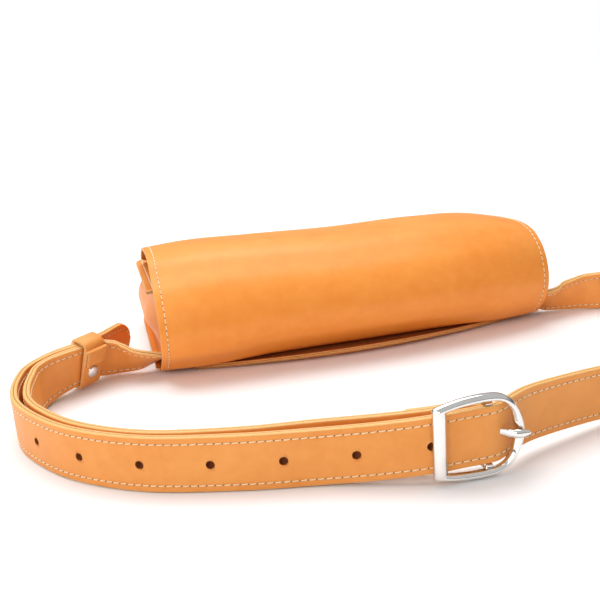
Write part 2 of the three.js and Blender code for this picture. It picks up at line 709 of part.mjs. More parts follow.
// The buckle strap with its end turned round the centre bar and sewn back on its inner face.
function makeBuckleStrap(stations, matrix) {
  const length = stations[stations.length - 1].length;
  const eyeRadius = barRadius + clearance + foldWall;
  const returned = stations.filter((station) => station.length > length - foldReturn);
  const turned = strapSolid(returned, { wall: foldWall, offset: joinOverlap - (strapWall + foldWall) / 2 });
  let solid = strapSolid(stations).add(turned);
  solid = solid.add(placed(toSolid(uprightCylinder(eyeRadius, strapWidth, 18)), matrix));
  const bore = uprightCylinder(barRadius + clearance, 2 * strapWidth, 18);
  solid = solid.subtract(placed(toSolid(bore), matrix));
  const slotHeight = prongHeight + 2 * clearance;
  const slotReach = 2 * (barRadius + foldWall + prongRing);
  const slot = new THREE.BoxGeometry(3 * slotReach, 2 * slotReach, slotHeight);
  slot.translate(slotReach / 2, 0, 0);
  solid = solid.subtract(placed(toSolid(slot), matrix));
  return mesh('buckle_strap', toGeometry(solid), leatherBelt);
}

function makeHoleStrap(stations, barRow, matrix) {
  let solid = strapSolid(stations, { tip: tipRounding * strapWidth });
  const barStation = stations.reduce((best, station) => (
    station.place.distanceTo(barRow.place) < best.place.distanceTo(barRow.place) ? station : best));
  for (let k = 1; k <= holeCount; k++) {
    const target = barStation.length + holeFromBar - k * holePitch;
    const next = stations.findIndex((station) => station.length > target);
    const [low, high] = [stations[next - 1], stations[next]];
    const share = (target - low.length) / (high.length - low.length);
    const middle = low.place.clone().lerp(high.place, share);
    const across = low.across.clone().lerp(high.across, share).normalize();
    const outward = low.outward.clone().lerp(high.outward, share).normalize();
    middle.addScaledVector(across, strapWidth / 2);
    const hole = new THREE.CylinderGeometry(holeDiameter / 2, holeDiameter / 2, 4 * strapWall, 10);
    hole.applyQuaternion(new THREE.Quaternion().setFromUnitVectors(new THREE.Vector3(0, 1, 0), outward));
    hole.translate(middle.x, middle.y, middle.z);
    solid = solid.subtract(toSolid(hole));
  }
  solid = solid.subtract(placed(prongSolid(clearance), matrix));
  return mesh('hole_strap', toGeometry(solid), leatherBelt);
}

// The keeper's own frame: x along the belt, y out of the straps' inner face, z up along their
// width from the keeper's foot, at the middle of the two straps that it holds.
function keeperMatrix(holeRows) {
  const index = holeRows.findIndex((row) => row.name === 'keeper');
  const { place, lean, gap } = holeRows[index];
  const run = new THREE.Vector3().subVectors(holeRows[index + 1].place, holeRows[index - 1].place);
  run.setZ(0).normalize();
  const inner = innerFaceOf(run, lean);
  const across = acrossOf(run, lean);
  const foot = place.clone().addScaledVector(inner, (strapWall + gap) / 2);
  foot.addScaledVector(across, -keeperLift);
  return new THREE.Matrix4().makeBasis(run, inner, across).setPosition(foot);
}

function roundedOutline(path, halfWidth, low, high, radius) {
  path.moveTo(-halfWidth + radius, low);
  path.lineTo(halfWidth - radius, low);
  path.absarc(halfWidth - radius, low + radius, radius, -Math.PI / 2, 0);
  path.absarc(halfWidth - radius, high - radius, radius, 0, Math.PI / 2);
  path.absarc(-halfWidth + radius, high - radius, radius, Math.PI / 2, Math.PI);
  path.absarc(-halfWidth + radius, low + radius, radius, Math.PI, 1.5 * Math.PI);
  return path;
}

function makeKeeper(matrix) {
  const high = keeperLift + strapWidth + 2 * clearance;
  const outer = keeperInner + keeperWall;
  const shape = roundedOutline(new THREE.Shape(), outer, 0, high + keeperWall, keeperRound);
  const innerRound = keeperRound - keeperWall;
  shape.holes.push(roundedOutline(new THREE.Path(), keeperInner, keeperWall, high, innerRound));
  const extrusion = { depth: keeperWidth, bevelEnabled: false, curveSegments: 4 };
  const ring = new THREE.ExtrudeGeometry(shape, extrusion);
  ring.translate(0, 0, -keeperWidth / 2);
  const [alongX, alongY] = [new THREE.Vector3(1, 0, 0), new THREE.Vector3(0, 1, 0)];
  ring.applyMatrix4(new THREE.Matrix4().makeBasis(alongY, up, alongX));
  const lap = new THREE.BoxGeometry(keeperWidth, keeperWall, keeperLap);
  lap.translate(0, outer + keeperWall / 2 - joinOverlap, high - keeperLap / 2);
  const solid = toSolid(ring).add(toSolid(lap));
  return mesh('keeper_loop', toGeometry(solid).applyMatrix4(matrix), leatherBelt);
}

// A low domed cap on the keeper's inner face, under the lap's end.
function makeRivet(matrix) {
  const outline = [];
  const steps = 5;
  for (let i = 0; i <= steps; i++) {
    const turn = (Math.PI / 2) * (i / steps);
    outline.push(new THREE.Vector2(rivetRadius * Math.cos(turn), rivetRise * Math.sin(turn)));
  }
  outline[steps].x = 0;
  const cap = new THREE.LatheGeometry([new THREE.Vector2(0, 0), ...outline], 16);
  cap.translate(0, keeperInner + keeperWall + clearance, 0);
  const bare = toGeometry(toSolid(cap));
  bare.translate(0, 0, keeperLift + strapWidth - keeperLap - rivetRadius - rivetGap);
  return mesh('keeper_rivet', bare.applyMatrix4(matrix), polishedSteel);
}

// Assembly

const holeRows = holeStrapRows();
const barRow = holeRows.find((row) => row.name === 'bar');
const strapStep = 8;
const holeStations = strapStations(holeRows, strapStep);
const buckleStations = strapStations(buckleStrapRows(holeRows), strapStep);
const buckleFrame = buckleMatrix(barRow);
const keeperFrame = keeperMatrix(holeRows);
const strapCutters = [holeStations, buckleStations].map((stations) => (
  strapSolid(stations, { grown: clearance })));

const bag = new THREE.Group();
bag.add(
  makeFlapAndBack(),
  makeFrontPanel(),
  makeGusset(strapCutters),
  makePocketPanel(),
  makeBuckleStrap(buckleStations, buckleFrame),
  makeHoleStrap(holeStations, barRow, buckleFrame),
  makeBuckleFrame(buckleFrame),
  makeProng(buckleFrame),
  makeKeeper(keeperFrame),
  makeRivet(keeperFrame),
);

// The origin is the middle of the whole object on the floor.
const reach = new THREE.Box3().setFromObject(bag);
const middle = reach.getCenter(new THREE.Vector3());
bag.position.set(-middle.x, -middle.y, -reach.min.z);
bag.updateMatrixWorld(true);

export default bag;
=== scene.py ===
"""Leather belt bag on its back, with its belt buckled into a loop on edge before it.

Sizes are in millimetres in the bag's own frame, which is the solids' frame moved: X along the
bag, Y away from the viewer from the line of the mouth, Z up from the surface it lies on.
"""
import math

import bpy
import numpy as np
from mathutils import Matrix, Vector


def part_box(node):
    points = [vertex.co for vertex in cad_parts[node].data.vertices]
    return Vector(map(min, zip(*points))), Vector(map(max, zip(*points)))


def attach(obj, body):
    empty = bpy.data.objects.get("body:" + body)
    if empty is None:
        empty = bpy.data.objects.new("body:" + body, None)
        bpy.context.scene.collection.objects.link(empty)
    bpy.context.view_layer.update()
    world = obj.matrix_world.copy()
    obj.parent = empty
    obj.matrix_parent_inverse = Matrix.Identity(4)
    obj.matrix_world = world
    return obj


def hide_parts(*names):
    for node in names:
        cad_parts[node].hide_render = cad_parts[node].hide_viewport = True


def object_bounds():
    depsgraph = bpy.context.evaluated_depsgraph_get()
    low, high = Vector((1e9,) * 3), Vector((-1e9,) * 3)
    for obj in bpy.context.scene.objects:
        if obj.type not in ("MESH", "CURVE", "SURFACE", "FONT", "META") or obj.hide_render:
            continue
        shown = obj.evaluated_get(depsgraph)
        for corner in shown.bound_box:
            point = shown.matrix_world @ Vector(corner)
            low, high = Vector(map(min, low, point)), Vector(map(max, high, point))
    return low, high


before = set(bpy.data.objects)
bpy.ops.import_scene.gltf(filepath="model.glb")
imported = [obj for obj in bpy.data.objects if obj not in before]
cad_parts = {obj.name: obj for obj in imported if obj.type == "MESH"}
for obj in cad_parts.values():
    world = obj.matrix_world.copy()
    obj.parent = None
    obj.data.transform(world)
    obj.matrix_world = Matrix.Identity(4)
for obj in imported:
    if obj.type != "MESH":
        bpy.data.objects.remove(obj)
cad_low, cad_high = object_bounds()

# Sizes that the solids have too
BODY_LENGTH, BODY_DEPTH, BODY_CORNER = 246.0, 135.0, 22.0
FLAP_LENGTH, FLAP_CORNER = 240.0, 26.0
SHEET = 2.0
MOUTH_HEIGHT, BOTTOM_HEIGHT, FRONT_CROWN, MOUTH_INSET = 51.0, 44.0, 3.0, 9.0
ROLL_HEIGHT, ROLL_BOW, ROLL_BELLY, ROLL_FOOT, FLAP_REST = 70.0, 8.0, 17.5, 3.2, 0.5
GUSSET_WALL, GUSSET_FLANGE, GUSSET_CREASE, GUSSET_BULGE = 1.8, 5.5, 9.0, 10.9
POCKET_WALL, POCKET_LENGTH, POCKET_INSET, POCKET_BOW = 2.4, 200.0, 8.0, 19.5
POCKET_LIFT, POCKET_MARGIN = 3.0, 5.0
STRAP_WIDTH, STRAP_STEP = 25.0, 3.0
FOLD_WALL, FOLD_RETURN = 1.5, 32.0
LOOP_LEFT, LOOP_RIGHT, LOOP_FRONT, TIP_REACH = 194.8, 212.0, 167.5, 40.5
SEAT_LEFT, SEAT_RIGHT, STRAP_SEWN = 5.0, 5.0, 15.0
HOLE_PITCH, HOLE_COUNT, HOLE_FROM_BAR = 30.0, 8, 6.2
TIP_ROUNDING = 0.46
BAR_PLACE, BAR_RADIUS, BAR_SHARE = 3.5, 1.75, 0.61
FRAME_LENGTH, FRAME_HEIGHT, FRAME_DEPTH = 40.0, 36.6, 3.5
PRONG_HEIGHT, PRONG_THICK, PRONG_RING = 3.6, 2.2, 1.4
KEEPER_WIDTH, KEEPER_WALL, KEEPER_LAP = 14.0, 2.2, 11.0
KEEPER_SLACK, KEEPER_RAISE = 0.9, 5.0
RIVET_RADIUS, RIVET_RISE, RIVET_GAP = 3.8, 1.4, 1.5
CLEAR = 0.3

BACK_LEVEL = POCKET_WALL + CLEAR
BACK_TOP = BACK_LEVEL + SHEET
STRAP_SEAT = BACK_TOP + CLEAR + STRAP_STEP / 2
KEEPER_LIFT = KEEPER_WALL + CLEAR
KEEPER_INNER = STRAP_STEP + KEEPER_SLACK
BUCKLE_LIFT = (FRAME_HEIGHT - STRAP_WIDTH) / 2
BAR_DEPTH = STRAP_STEP / 2 + CLEAR + FOLD_WALL + CLEAR + BAR_RADIUS
BODY_HALF = BODY_LENGTH / 2

# Sizes of the looks alone. The straps and their holes are a little larger than the solids',
# which are 3 mm thick and have holes of 3.6 mm.
STRAP_WALL = 3.5
HOLE_DIAMETER = 3.8
STITCH_PITCH, STITCH_LEAN = 3.5, 0.12
THREAD_RADIUS, THREAD_END, THREAD_RISE, THREAD_SINK = 0.19, 0.13, 0.3, 0.12
# The stitch holes are drawn as dark discs of painted shade.
STITCH_HOLE_RADIUS, STITCH_HOLE_LIFT, STITCH_HOLE_SHIFT = 0.33, 0.04, 0.12
SEAM_START = 0.6
STRAP_SEAM = 3.1
FLAP_SEAM = 4.0
SEWN_SEAM_SHARE = 0.7
PROFILE_POINTS = 500
GROOVE_DEPTH, GROOVE_WIDTH = 0.16, 0.5
EDGE_ROUND = 0.6
LAP_ROUND, LAP_SINK = 0.6, 0.3
RIVET_EDGE, RIVET_SINK = 0.2, 0.4

# The bag's own frame in the solids' frame
front_low, front_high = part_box("front_panel")
pocket_low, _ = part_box("back_pocket_panel")
ORIGIN = np.array([
    500 * (front_low.x + front_high.x),
    1000 * front_high.y - BODY_DEPTH,
    1000 * pocket_low.z,
])


def placed(points):
    """Points of the bag's frame, in metres in the solids' frame."""
    return (np.asarray(points, float) + ORIGIN) / 1000


# Camera: it looks down and a little to the right, and is rolled
CAMERA_PLACE = (-141.0, -435.5, 165.0)
CAMERA_YAW, CAMERA_PITCH, CAMERA_ROLL = 13.486, 16.134, 4.5
CAMERA_LENS = 48.0


def new_object(name, data):
    item = bpy.data.objects.new(name, data)
    bpy.context.collection.objects.link(item)
    return item


def make_camera():
    yaw, pitch, roll = map(math.radians, (CAMERA_YAW, CAMERA_PITCH, CAMERA_ROLL))
    level_right = Vector((math.cos(yaw), -math.sin(yaw), 0))
    heading = Vector((math.sin(yaw), math.cos(yaw), 0))
    ahead = heading * math.cos(pitch) - Vector((0, 0, math.sin(pitch)))
    level_up = heading * math.sin(pitch) + Vector((0, 0, math.cos(pitch)))
    right = level_right * math.cos(roll) - level_up * math.sin(roll)
    above = level_right * math.sin(roll) + level_up * math.cos(roll)
    data = bpy.data.cameras.new("camera")
    data.lens = CAMERA_LENS
    data.sensor_width = 36
    data.clip_start, data.clip_end = 0.02, 30
    camera = new_object("camera", data)
    turn = Matrix((right, above, -ahead)).transposed()
    camera.matrix_world = Matrix.Translation(placed(CAMERA_PLACE)) @ turn.to_4x4()
    bpy.context.scene.camera = camera


# Curves and tables

def catmull(points, places):
    """A centripetal Catmull-Rom curve through points, at places counted in points."""
    points = np.asarray(points, float)
    places = np.asarray(places, float)
    last = len(points) - 1
    ends = np.vstack([2 * points[0] - points[1], points, 2 * points[-1] - points[-2]])
    index = np.clip(np.floor(places).astype(int), 0, last - 1)
    share = (places - index)[:, None]
    before, low, high, after = (ends[index + k] for k in range(4))
    spans = [
        np.maximum(np.linalg.norm(b - a, axis=1), 1e-8)[:, None] ** 0.5
        for a, b in ((before, low), (low, high), (high, after))
    ]
    first, middle, third = spans
    start = (low - before) / first - (high - before) / (first + middle) + (high - low) / middle
    end = (high - low) / middle - (after - low) / (middle + third) + (after - high) / third
    start, end = start * middle, end * middle
    square = 3 * (high - low) - 2 * start - end
    cube = 2 * (low - high) + start + end
    return low + share * (start + share * (square + share * cube))


def table_value(table, column, at):
    """A smooth value between the rows of a table, whose first column is the place."""
    rows = np.array(table)
    x, y = rows[:, 0], rows[:, column]
    slopes = np.gradient(y, x)
    index = np.clip(np.searchsorted(x, at, side="right") - 1, 0, len(x) - 2)
    width = x[index + 1] - x[index]
    t = (at - x[index]) / width
    return (
        y[index] * (1 + 2 * t) * (1 - t) ** 2
        + y[index + 1] * t ** 2 * (3 - 2 * t)
        + slopes[index] * width * t * (1 - t) ** 2
        - slopes[index + 1] * width * t ** 2 * (1 - t)
    )


def smooth(value, low, high):
    t = np.clip((value - low) / (high - low), 0, 1)
    return t * t * (3 - 2 * t)


def mix(a, b, share):
    return a + (b - a) * share


def unit(vectors):
    return vectors / np.maximum(np.linalg.norm(vectors, axis=-1, keepdims=True), 1e-12)


def lengths_along(points):
    steps = np.linalg.norm(np.diff(points, axis=0), axis=1)
    return np.concatenate([[0], np.cumsum(steps)])


def spread(points, count):
    """The same line with its points evenly spaced."""
    along = lengths_along(points)
    wanted = np.linspace(0, along[-1], count)
    return np.column_stack([np.interp(wanted, along, points[:, k]) for k in range(points.shape[1])])


def rounded_half(half, radius, from_end):
    inside = np.clip(radius - from_end, 0, radius)
    return half - radius + np.sqrt(radius ** 2 - inside ** 2)


def groove(distance, seam):
    return np.exp(-(((distance - seam) / GROOVE_WIDTH) ** 2))


# Meshes

def make_mesh(name, points, faces, material, body="root", marks=None):
    mesh = bpy.data.meshes.new(name)
    mesh.from_pydata(placed(points).tolist(), [], [list(map(int, face)) for face in faces])
    mesh.validate()
    mesh.polygons.foreach_set("use_smooth", [True] * len(mesh.polygons))
    for mark, values in (marks or {}).items():
        layer = mesh.attributes.new(mark, "FLOAT", "POINT")
        layer.data.foreach_set("value", np.asarray(values, np.float32).ravel())
    mesh.materials.append(material)
    piece = new_object(name, mesh)
    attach(piece, body)
    return piece


def grid_faces(rows, columns, closed_rows=False, closed_columns=False):
    """Faces between the points of a grid that is stored row by row."""
    i = np.arange(rows if closed_rows else rows - 1)
    j = np.arange(columns if closed_columns else columns - 1)
    i, j = (grid.ravel() for grid in np.meshgrid(i, j, indexing="ij"))
    up, side = (i + 1) % rows, (j + 1) % columns
    return np.column_stack([i * columns + j, up * columns + j, up * columns + side, i * columns + side])


def closed_tube_faces(rings, sides):
    faces = grid_faces(rings, sides, closed_columns=True).tolist()
    faces.append(list(range(sides - 1, -1, -1)))
    faces.append(list(range((rings - 1) * sides, rings * sides)))
    return faces


def grid_border(rows, columns):
    """The outermost points of a grid in turn, and the point that follows each."""
    ring = np.concatenate([
        np.arange(columns),
        np.arange(1, rows) * columns + columns - 1,
        (rows - 1) * columns + np.arange(columns - 2, -1, -1),
        np.arange(rows - 2, 0, -1) * columns,
    ])
    return ring, np.roll(ring, -1)


def surface_normals(grid):
    along = np.gradient(grid, axis=0)
    across = np.gradient(grid, axis=1)
    return unit(np.cross(along, across))


def slab(name, grid, wall, distance, material):
    """A sheet of leather behind a grid of points, with rounded edges and a sewn groove.

    distance is each point's way to the nearest edge. The sheet's back is its rough side."""
    rows, columns = distance.shape
    normals = surface_normals(grid)
    near = np.clip(1 - distance / EDGE_ROUND, 0, 1)
    drop = EDGE_ROUND * (1 - np.sqrt(1 - near ** 2))
    sewn = groove(distance, FLAP_SEAM)
    dent = GROOVE_DEPTH * sewn
    front = grid + normals * (drop + dent)[..., None]
    back = grid + normals * (wall - drop - dent)[..., None]
    edge = np.clip(1.15 - distance / EDGE_ROUND, 0, 1)
    points = np.vstack([front.reshape(-1, 3), back.reshape(-1, 3)])
    count = rows * columns
    first = grid_faces(rows, columns)
    ring, after = grid_border(rows, columns)
    wall_faces = np.column_stack([ring, after, after + count, ring + count])
    faces = np.vstack([first[:, ::-1], first + count, wall_faces])
    marks = {
        "edge": np.tile(edge.ravel(), 2),
        "seam": np.tile(sewn.ravel(), 2),
        "rough": np.repeat([0.0, 1.0], count),
    }
    return make_mesh(name, points, faces, material, marks=marks), front, normals


# Materials

def linear(red, green, blue):
    """A colour given as it looks on a screen, 0 to 255, as the shader's own value."""
    values = (value / 255 for value in (red, green, blue))
    return tuple(v / 12.92 if v <= 0.04045 else ((v + 0.055) / 1.055) ** 2.4 for v in values) + (1,)


def darker(colour, share):
    return tuple(share * value for value in colour[:3]) + (1,)


class Nodes:
    """A material's node tree, with short calls for the nodes that these materials use."""

    def __init__(self, name):
        self.material = bpy.data.materials.new(name)
        self.material.use_nodes = True
        self.tree = self.material.node_tree
        self.shader = self.tree.nodes["Principled BSDF"]
        self.place = self.tree.nodes.new("ShaderNodeTexCoord").outputs["Object"]

    def add(self, kind, inputs=None, **settings):
        node = self.tree.nodes.new(kind)
        for key, value in settings.items():
            setattr(node, key, value)
        for key, value in (inputs or {}).items():
            if isinstance(value, bpy.types.NodeSocket):
                self.tree.links.new(value, node.inputs[key])
            else:
                node.inputs[key].default_value = value
        return node

    def noise(self, scale, detail=3.0, roughness=0.55):
        inputs = {"Vector": self.place, "Scale": scale, "Detail": detail, "Roughness": roughness}
        return self.add("ShaderNodeTexNoise", inputs).outputs["Fac"]

    def span(self, value, low, high, to_low=0.0, to_high=1.0):
        inputs = {0: value, 1: low, 2: high, 3: to_low, 4: to_high}
        return self.add("ShaderNodeMapRange", inputs).outputs[0]

    def math(self, operation, a, b):
        return self.add("ShaderNodeMath", {0: a, 1: b}, operation=operation).outputs[0]

    def blend(self, share, a, b):
        inputs = {0: share, 6: a, 7: b}
        return self.add("ShaderNodeMix", inputs, data_type="RGBA").outputs[2]

    def mark(self, name):
        return self.add("ShaderNodeAttribute", attribute_name=name).outputs["Fac"]

    def put(self, key, value):
        if isinstance(value, bpy.types.NodeSocket):
            self.tree.links.new(value, self.shader.inputs[key])
        else:
            self.shader.inputs[key].default_value = value

    def bump(self, *layers):
        """Layers of height, each a value, its strength and its depth in metres."""
        normal = None
        for height, strength, depth in layers:
            inputs = {"Height": height, "Strength": strength, "Distance": depth}
            if normal is not None:
                inputs["Normal"] = normal
            normal = self.add("ShaderNodeBump", inputs).outputs["Normal"]
        self.put("Normal", normal)


def leather(name, tone, deep, rough_tone, edge_tone, ply_tone, gloss=0.42):
    """Smooth vegetable-tanned leather: mottled grain side, napped rough side and cut edges."""
    n = Nodes(name)
    clouds = n.noise(22, 4)
    patches = n.noise(140, 4, 0.6)
    grain = n.noise(1500, 3, 0.6)
    pores = n.add("ShaderNodeTexVoronoi", {"Vector": n.place, "Scale": 900.0}).outputs["Distance"]
    mottle = n.math("ADD", n.math("MULTIPLY", clouds, 0.55), n.math("MULTIPLY", patches, 0.45))
    colour = n.blend(n.span(mottle, 0.36, 0.64), deep, tone)
    colour = n.blend(n.span(grain, 0.3, 0.7, 0.0, 0.12), colour, deep)
    nap = n.noise(600, 5, 0.7)
    napped = n.blend(n.span(nap, 0.35, 0.65), rough_tone, darker(rough_tone, 0.78))
    colour = n.blend(n.mark("rough"), colour, napped)
    # Painted shade: the colour is darkened along the sewn groove beside each row of stitches.
    colour = n.blend(n.math("MULTIPLY", n.mark("seam"), 0.35), colour, darker(deep, 0.55))
    fibres = n.noise(1900, 4, 0.7)
    cut = n.blend(n.span(fibres, 0.35, 0.7, 0.0, 0.5), edge_tone, ply_tone)
    colour = n.blend(n.span(n.mark("edge"), 0.35, 0.8), colour, cut)
    glue_line = darker(ply_tone, 0.5)
    colour = n.blend(n.span(n.mark("ply"), 0.2, 0.9, 0.0, 0.85), colour, glue_line)
    n.put("Base Color", colour)
    rough = n.span(patches, 0.3, 0.7, gloss - 0.05, gloss + 0.08)
    rough = n.math("ADD", rough, n.math("MULTIPLY", n.mark("rough"), 0.35))
    n.put("Roughness", rough)
    n.put("Specular IOR Level", 0.3)
    n.bump((patches, 0.1, 0.0006), (grain, 0.22, 0.00012), (pores, 0.12, 0.0001))
    return n.material


def thread_material():
    n = Nodes("thread")
    twist = n.noise(2600, 2)
    n.put("Base Color", n.blend(n.span(twist, 0.35, 0.65), linear(254, 232, 192), linear(240, 204, 150)))
    n.put("Roughness", 0.6)
    n.put("Sheen Weight", 0.2)
    n.bump((twist, 0.4, 0.0001))
    return n.material


def hole_shade_material(name, deep, tone):
    # Dark matte colour, painted as the shade inside a hole.
    n = Nodes(name)
    n.put("Base Color", n.blend(n.noise(2000), deep, tone))
    n.put("Roughness", 0.85)
    return n.material


def metal(name, tone, rough):
    """Polished plated metal with faint scuffs."""
    n = Nodes(name)
    scuffs = n.noise(900, 5, 0.7)
    haze = n.noise(120, 3)
    n.put("Base Color", n.blend(n.span(haze, 0.35, 0.65), tone, darker(tone, 0.93)))
    n.put("Metallic", 1.0)
    n.put("Roughness", n.span(scuffs, 0.3, 0.7, rough, rough + 0.08))
    n.bump((scuffs, 0.04, 0.00005))
    return n.material


BELT = leather("belt_leather", linear(238, 158, 80), linear(228, 143, 64), linear(192, 112, 50),
               linear(246, 194, 122), linear(182, 106, 46))
FLAP = leather("flap_leather", linear(242, 155, 66), linear(234, 141, 53), linear(202, 122, 58),
               linear(246, 190, 116), linear(188, 112, 50), gloss=0.4)
BODY = leather("body_leather", linear(240, 152, 66), linear(230, 136, 52), linear(194, 112, 50),
               linear(244, 186, 114), linear(178, 102, 44))
THREAD = thread_material()
# Painted shade: the dark colour of the discs that stand in for the shade inside the stitch holes.
STITCH_HOLE_SHADE = hole_shade_material("stitch_hole_shade", linear(60, 28, 10), linear(92, 46, 18))
# Painted shade: the dark colour of the cups that stand in for the shade inside the belt holes.
BELT_HOLE_SHADE = hole_shade_material("belt_hole_shade", linear(124, 60, 24), linear(150, 80, 36))
STEEL = metal("polished_metal", linear(236, 234, 230), 0.06)


# Seams

def seam(name, path, normals):
    """Stitches along a path on a surface: short threads that dive into a row of holes, and a dark disc of
    painted shade at each hole.
    """
    path, normals = np.asarray(path, float), np.asarray(normals, float)
    along = lengths_along(path)
    length = along[-1] - 2 * SEAM_START
    count = max(1, int(length / STITCH_PITCH))
    ends = SEAM_START + np.arange(count + 1) * length / count
    at = np.column_stack([np.interp(ends, along, path[:, k]) for k in range(3)])
    out = unit(np.column_stack([np.interp(ends, along, normals[:, k]) for k in range(3)]))
    rings, sides = 7, 6
    share = np.linspace(0, 1, rings)
    arch = np.sin(np.pi * share) ** 0.6
    turn = np.arange(sides) * 2 * np.pi / sides
    low, high = at[:-1], at[1:]
    run = unit(high - low)
    up = unit(out[:-1] + out[1:])
    side = np.cross(run, up)
    span = np.linalg.norm(high - low, axis=1)
    reach = mix(0.06, 0.94, share)
    centre = low[:, None] + run[:, None] * (span[:, None] * reach)[..., None]
    centre = centre + up[:, None] * (THREAD_RISE * arch - THREAD_SINK)[None, :, None]
    centre = centre + side[:, None] * (STITCH_LEAN * (0.5 - share) * 2)[None, :, None]
    radius = THREAD_END + THREAD_RADIUS * arch
    circle = (
        side[:, None, None] * np.cos(turn)[None, None, :, None]
        + up[:, None, None] * np.sin(turn)[None, None, :, None]
    )
    points = centre[:, :, None] + circle * radius[None, :, None, None]
    tube = closed_tube_faces(rings, sides)
    faces = [[v + k * rings * sides for v in face] for k in range(count) for face in tube]
    make_mesh(name + "_thread", points.reshape(-1, 3), faces, THREAD)
    # A dark disc at each stitch hole, lifted a little off the surface: painted shade of the hole.
    corners = 8
    turn = np.arange(corners) * 2 * np.pi / corners
    run = unit(np.gradient(at, axis=0))
    side = np.cross(run, out)
    middle = at + out * STITCH_HOLE_LIFT - side * STITCH_HOLE_SHIFT
    rim = middle[:, None] + STITCH_HOLE_RADIUS * (
        run[:, None] * np.cos(turn)[None, :, None] + side[:, None] * np.sin(turn)[None, :, None])
    faces = [list(range(k * corners, (k + 1) * corners)) for k in range(count + 1)]
    make_mesh(name + "_holes", rim.reshape(-1, 3), faces, STITCH_HOLE_SHADE)


# Bag body

EDGE_STEPS = np.array([0, 0.12, 0.35, 0.6, 1.2, 2.2, 3.0, 3.5, 3.8, 4.0, 4.2, 4.5, 5.0, 6.5])
SEAM_STEP = int(np.argmin(np.abs(EDGE_STEPS - FLAP_SEAM)))


def sheet_steps(length, count):
    """Places from 0 to a length, close together beside both ends."""
    inner = np.linspace(EDGE_STEPS[-1], length - EDGE_STEPS[-1], count)[1:-1]
    return np.concatenate([EDGE_STEPS, inner, (length - EDGE_STEPS)[::-1]])


def three_sides(values):
    """Values on the seam line round a panel's closed sides, from its mouth back to its mouth."""
    return np.vstack([
        values[SEAM_STEP:, SEAM_STEP][::-1],
        values[SEAM_STEP, SEAM_STEP + 1:-SEAM_STEP - 1],
        values[SEAM_STEP:, -SEAM_STEP - 1],
    ])


def flap_sides(values):
    """Values on the seam line up one side of the flap's sheet, round its end and down again."""
    long = slice(SEAM_STEP, -SEAM_STEP - 1)
    return np.vstack([
        values[long, SEAM_STEP],
        values[-SEAM_STEP - 1, SEAM_STEP:-SEAM_STEP],
        values[long, -SEAM_STEP - 1][::-1],
    ])

ROLL_ROWS = [
    # along, height, belly, bow, foot
    (-1.0, 0.972, 1.1, -0.2, 0), (-0.8, 0.998, 1.02, 0.32, 0), (-0.45, 0.985, 0.95, 0.75, 0.95),
    (0.0, 0.958, 0.95, 1.0, 1.1), (0.5, 0.958, 0.88, 0.8, 0.7), (0.8, 0.925, 0.7, 0.52, 0),
    (1.0, 0.845, 0.57, 0, 0),
]

FLAP_ROWS = [
    # deep, belly, rise, bow, foot, rest
    (1.0, 0, 0, 0, 0, 0), (0.93, 0, 0, 0, 0, 0), (0.6, 0, 0, 0, 0, 0), (0.25, 0, 0, 0, 0, 0),
    (0.15, 0, 0, 0.35, 0, 0), (0.1, 0, 0, 0.55, 0.15, 0), (0.04, 0, 0.008, 0.85, 0.8, 0),
    (0, 0, 0.085, 1, 1, 0), (0, 0.55, 0.2, 1, 1, 0), (0, 0.9, 0.34, 1, 0.8, 0), (0, 1.0, 0.46, 1, 0.5, 0),
    (0, 0.88, 0.6, 1, 0.2, 0), (0, 0.46, 0.76, 1, 0, 0), (0.01, 0, 0.87, 0.95, 0, 0),
    (0.07, 0, 0.955, 0.85, 0, 0), (0.17, 0, 1.0, 0.7, 0, 0), (0.32, 0, 0.992, 0.45, 0, 0),
    (0.48, 0, 0.95, 0.2, 0, 0), (0.62, 0, 0.87, 0.1, 0, 0), (0.74, 0, 0.78, 0, 0, 0.3),
    (0.84, 0, 0.7, 0, 0, 0.85), (0.91, 0, 0.66, 0, 0, 1),
]


def front_top(x, y):
    across = np.clip(x / BODY_HALF, -1, 1)
    along = np.clip((y - MOUTH_INSET) / (BODY_DEPTH - MOUTH_INSET), 0, 1)
    crown = FRONT_CROWN * (1 - across ** 2) * np.sin(np.pi * mix(0.25, 0.95, along))
    return mix(MOUTH_HEIGHT, BOTTOM_HEIGHT, along) + crown


def flap_profile(across):
    """The bag's back, roll and flap in one line, at one place along the bag."""
    x = across * FLAP_LENGTH / 2
    height, belly, bow, foot = (table_value(ROLL_ROWS, k, across) for k in (1, 2, 3, 4))
    points = []
    for deep, out, rise, bowed, raised, rest in FLAP_ROWS:
        y = deep * BODY_DEPTH - out * ROLL_BELLY * belly - bowed * ROLL_BOW * bow
        rolled = mix(BACK_LEVEL, ROLL_HEIGHT * height, rise) + raised * ROLL_FOOT * foot
        rested = float(front_top(x, y)) + FLAP_REST + SHEET
        level = mix(rolled, rested, rest)
        points.append((x, y, max(level, rested) if rest > 0 else level))
    curve = catmull(points, np.linspace(0, len(points) - 1, 1200))
    return spread(curve, PROFILE_POINTS)


def inner_steps(half, middle):
    """Places from one edge to the other, close together beside the edges."""
    edge = EDGE_STEPS[:, None]
    inner = np.linspace(-1, 1, middle + 2)[1:-1, None] * (half - EDGE_STEPS[-1])
    return np.vstack([-half + edge, inner, (half - edge)[::-1]])


def edge_distance(x, from_end, half, radius):
    straight = np.minimum(half - np.abs(x), from_end)
    corner_x = np.abs(x) - (half - radius)
    corner_y = radius - from_end
    rounded = radius - np.hypot(np.maximum(corner_x, 0), np.maximum(corner_y, 0))
    return np.maximum(np.where((corner_x > 0) & (corner_y > 0), rounded, straight), 0)


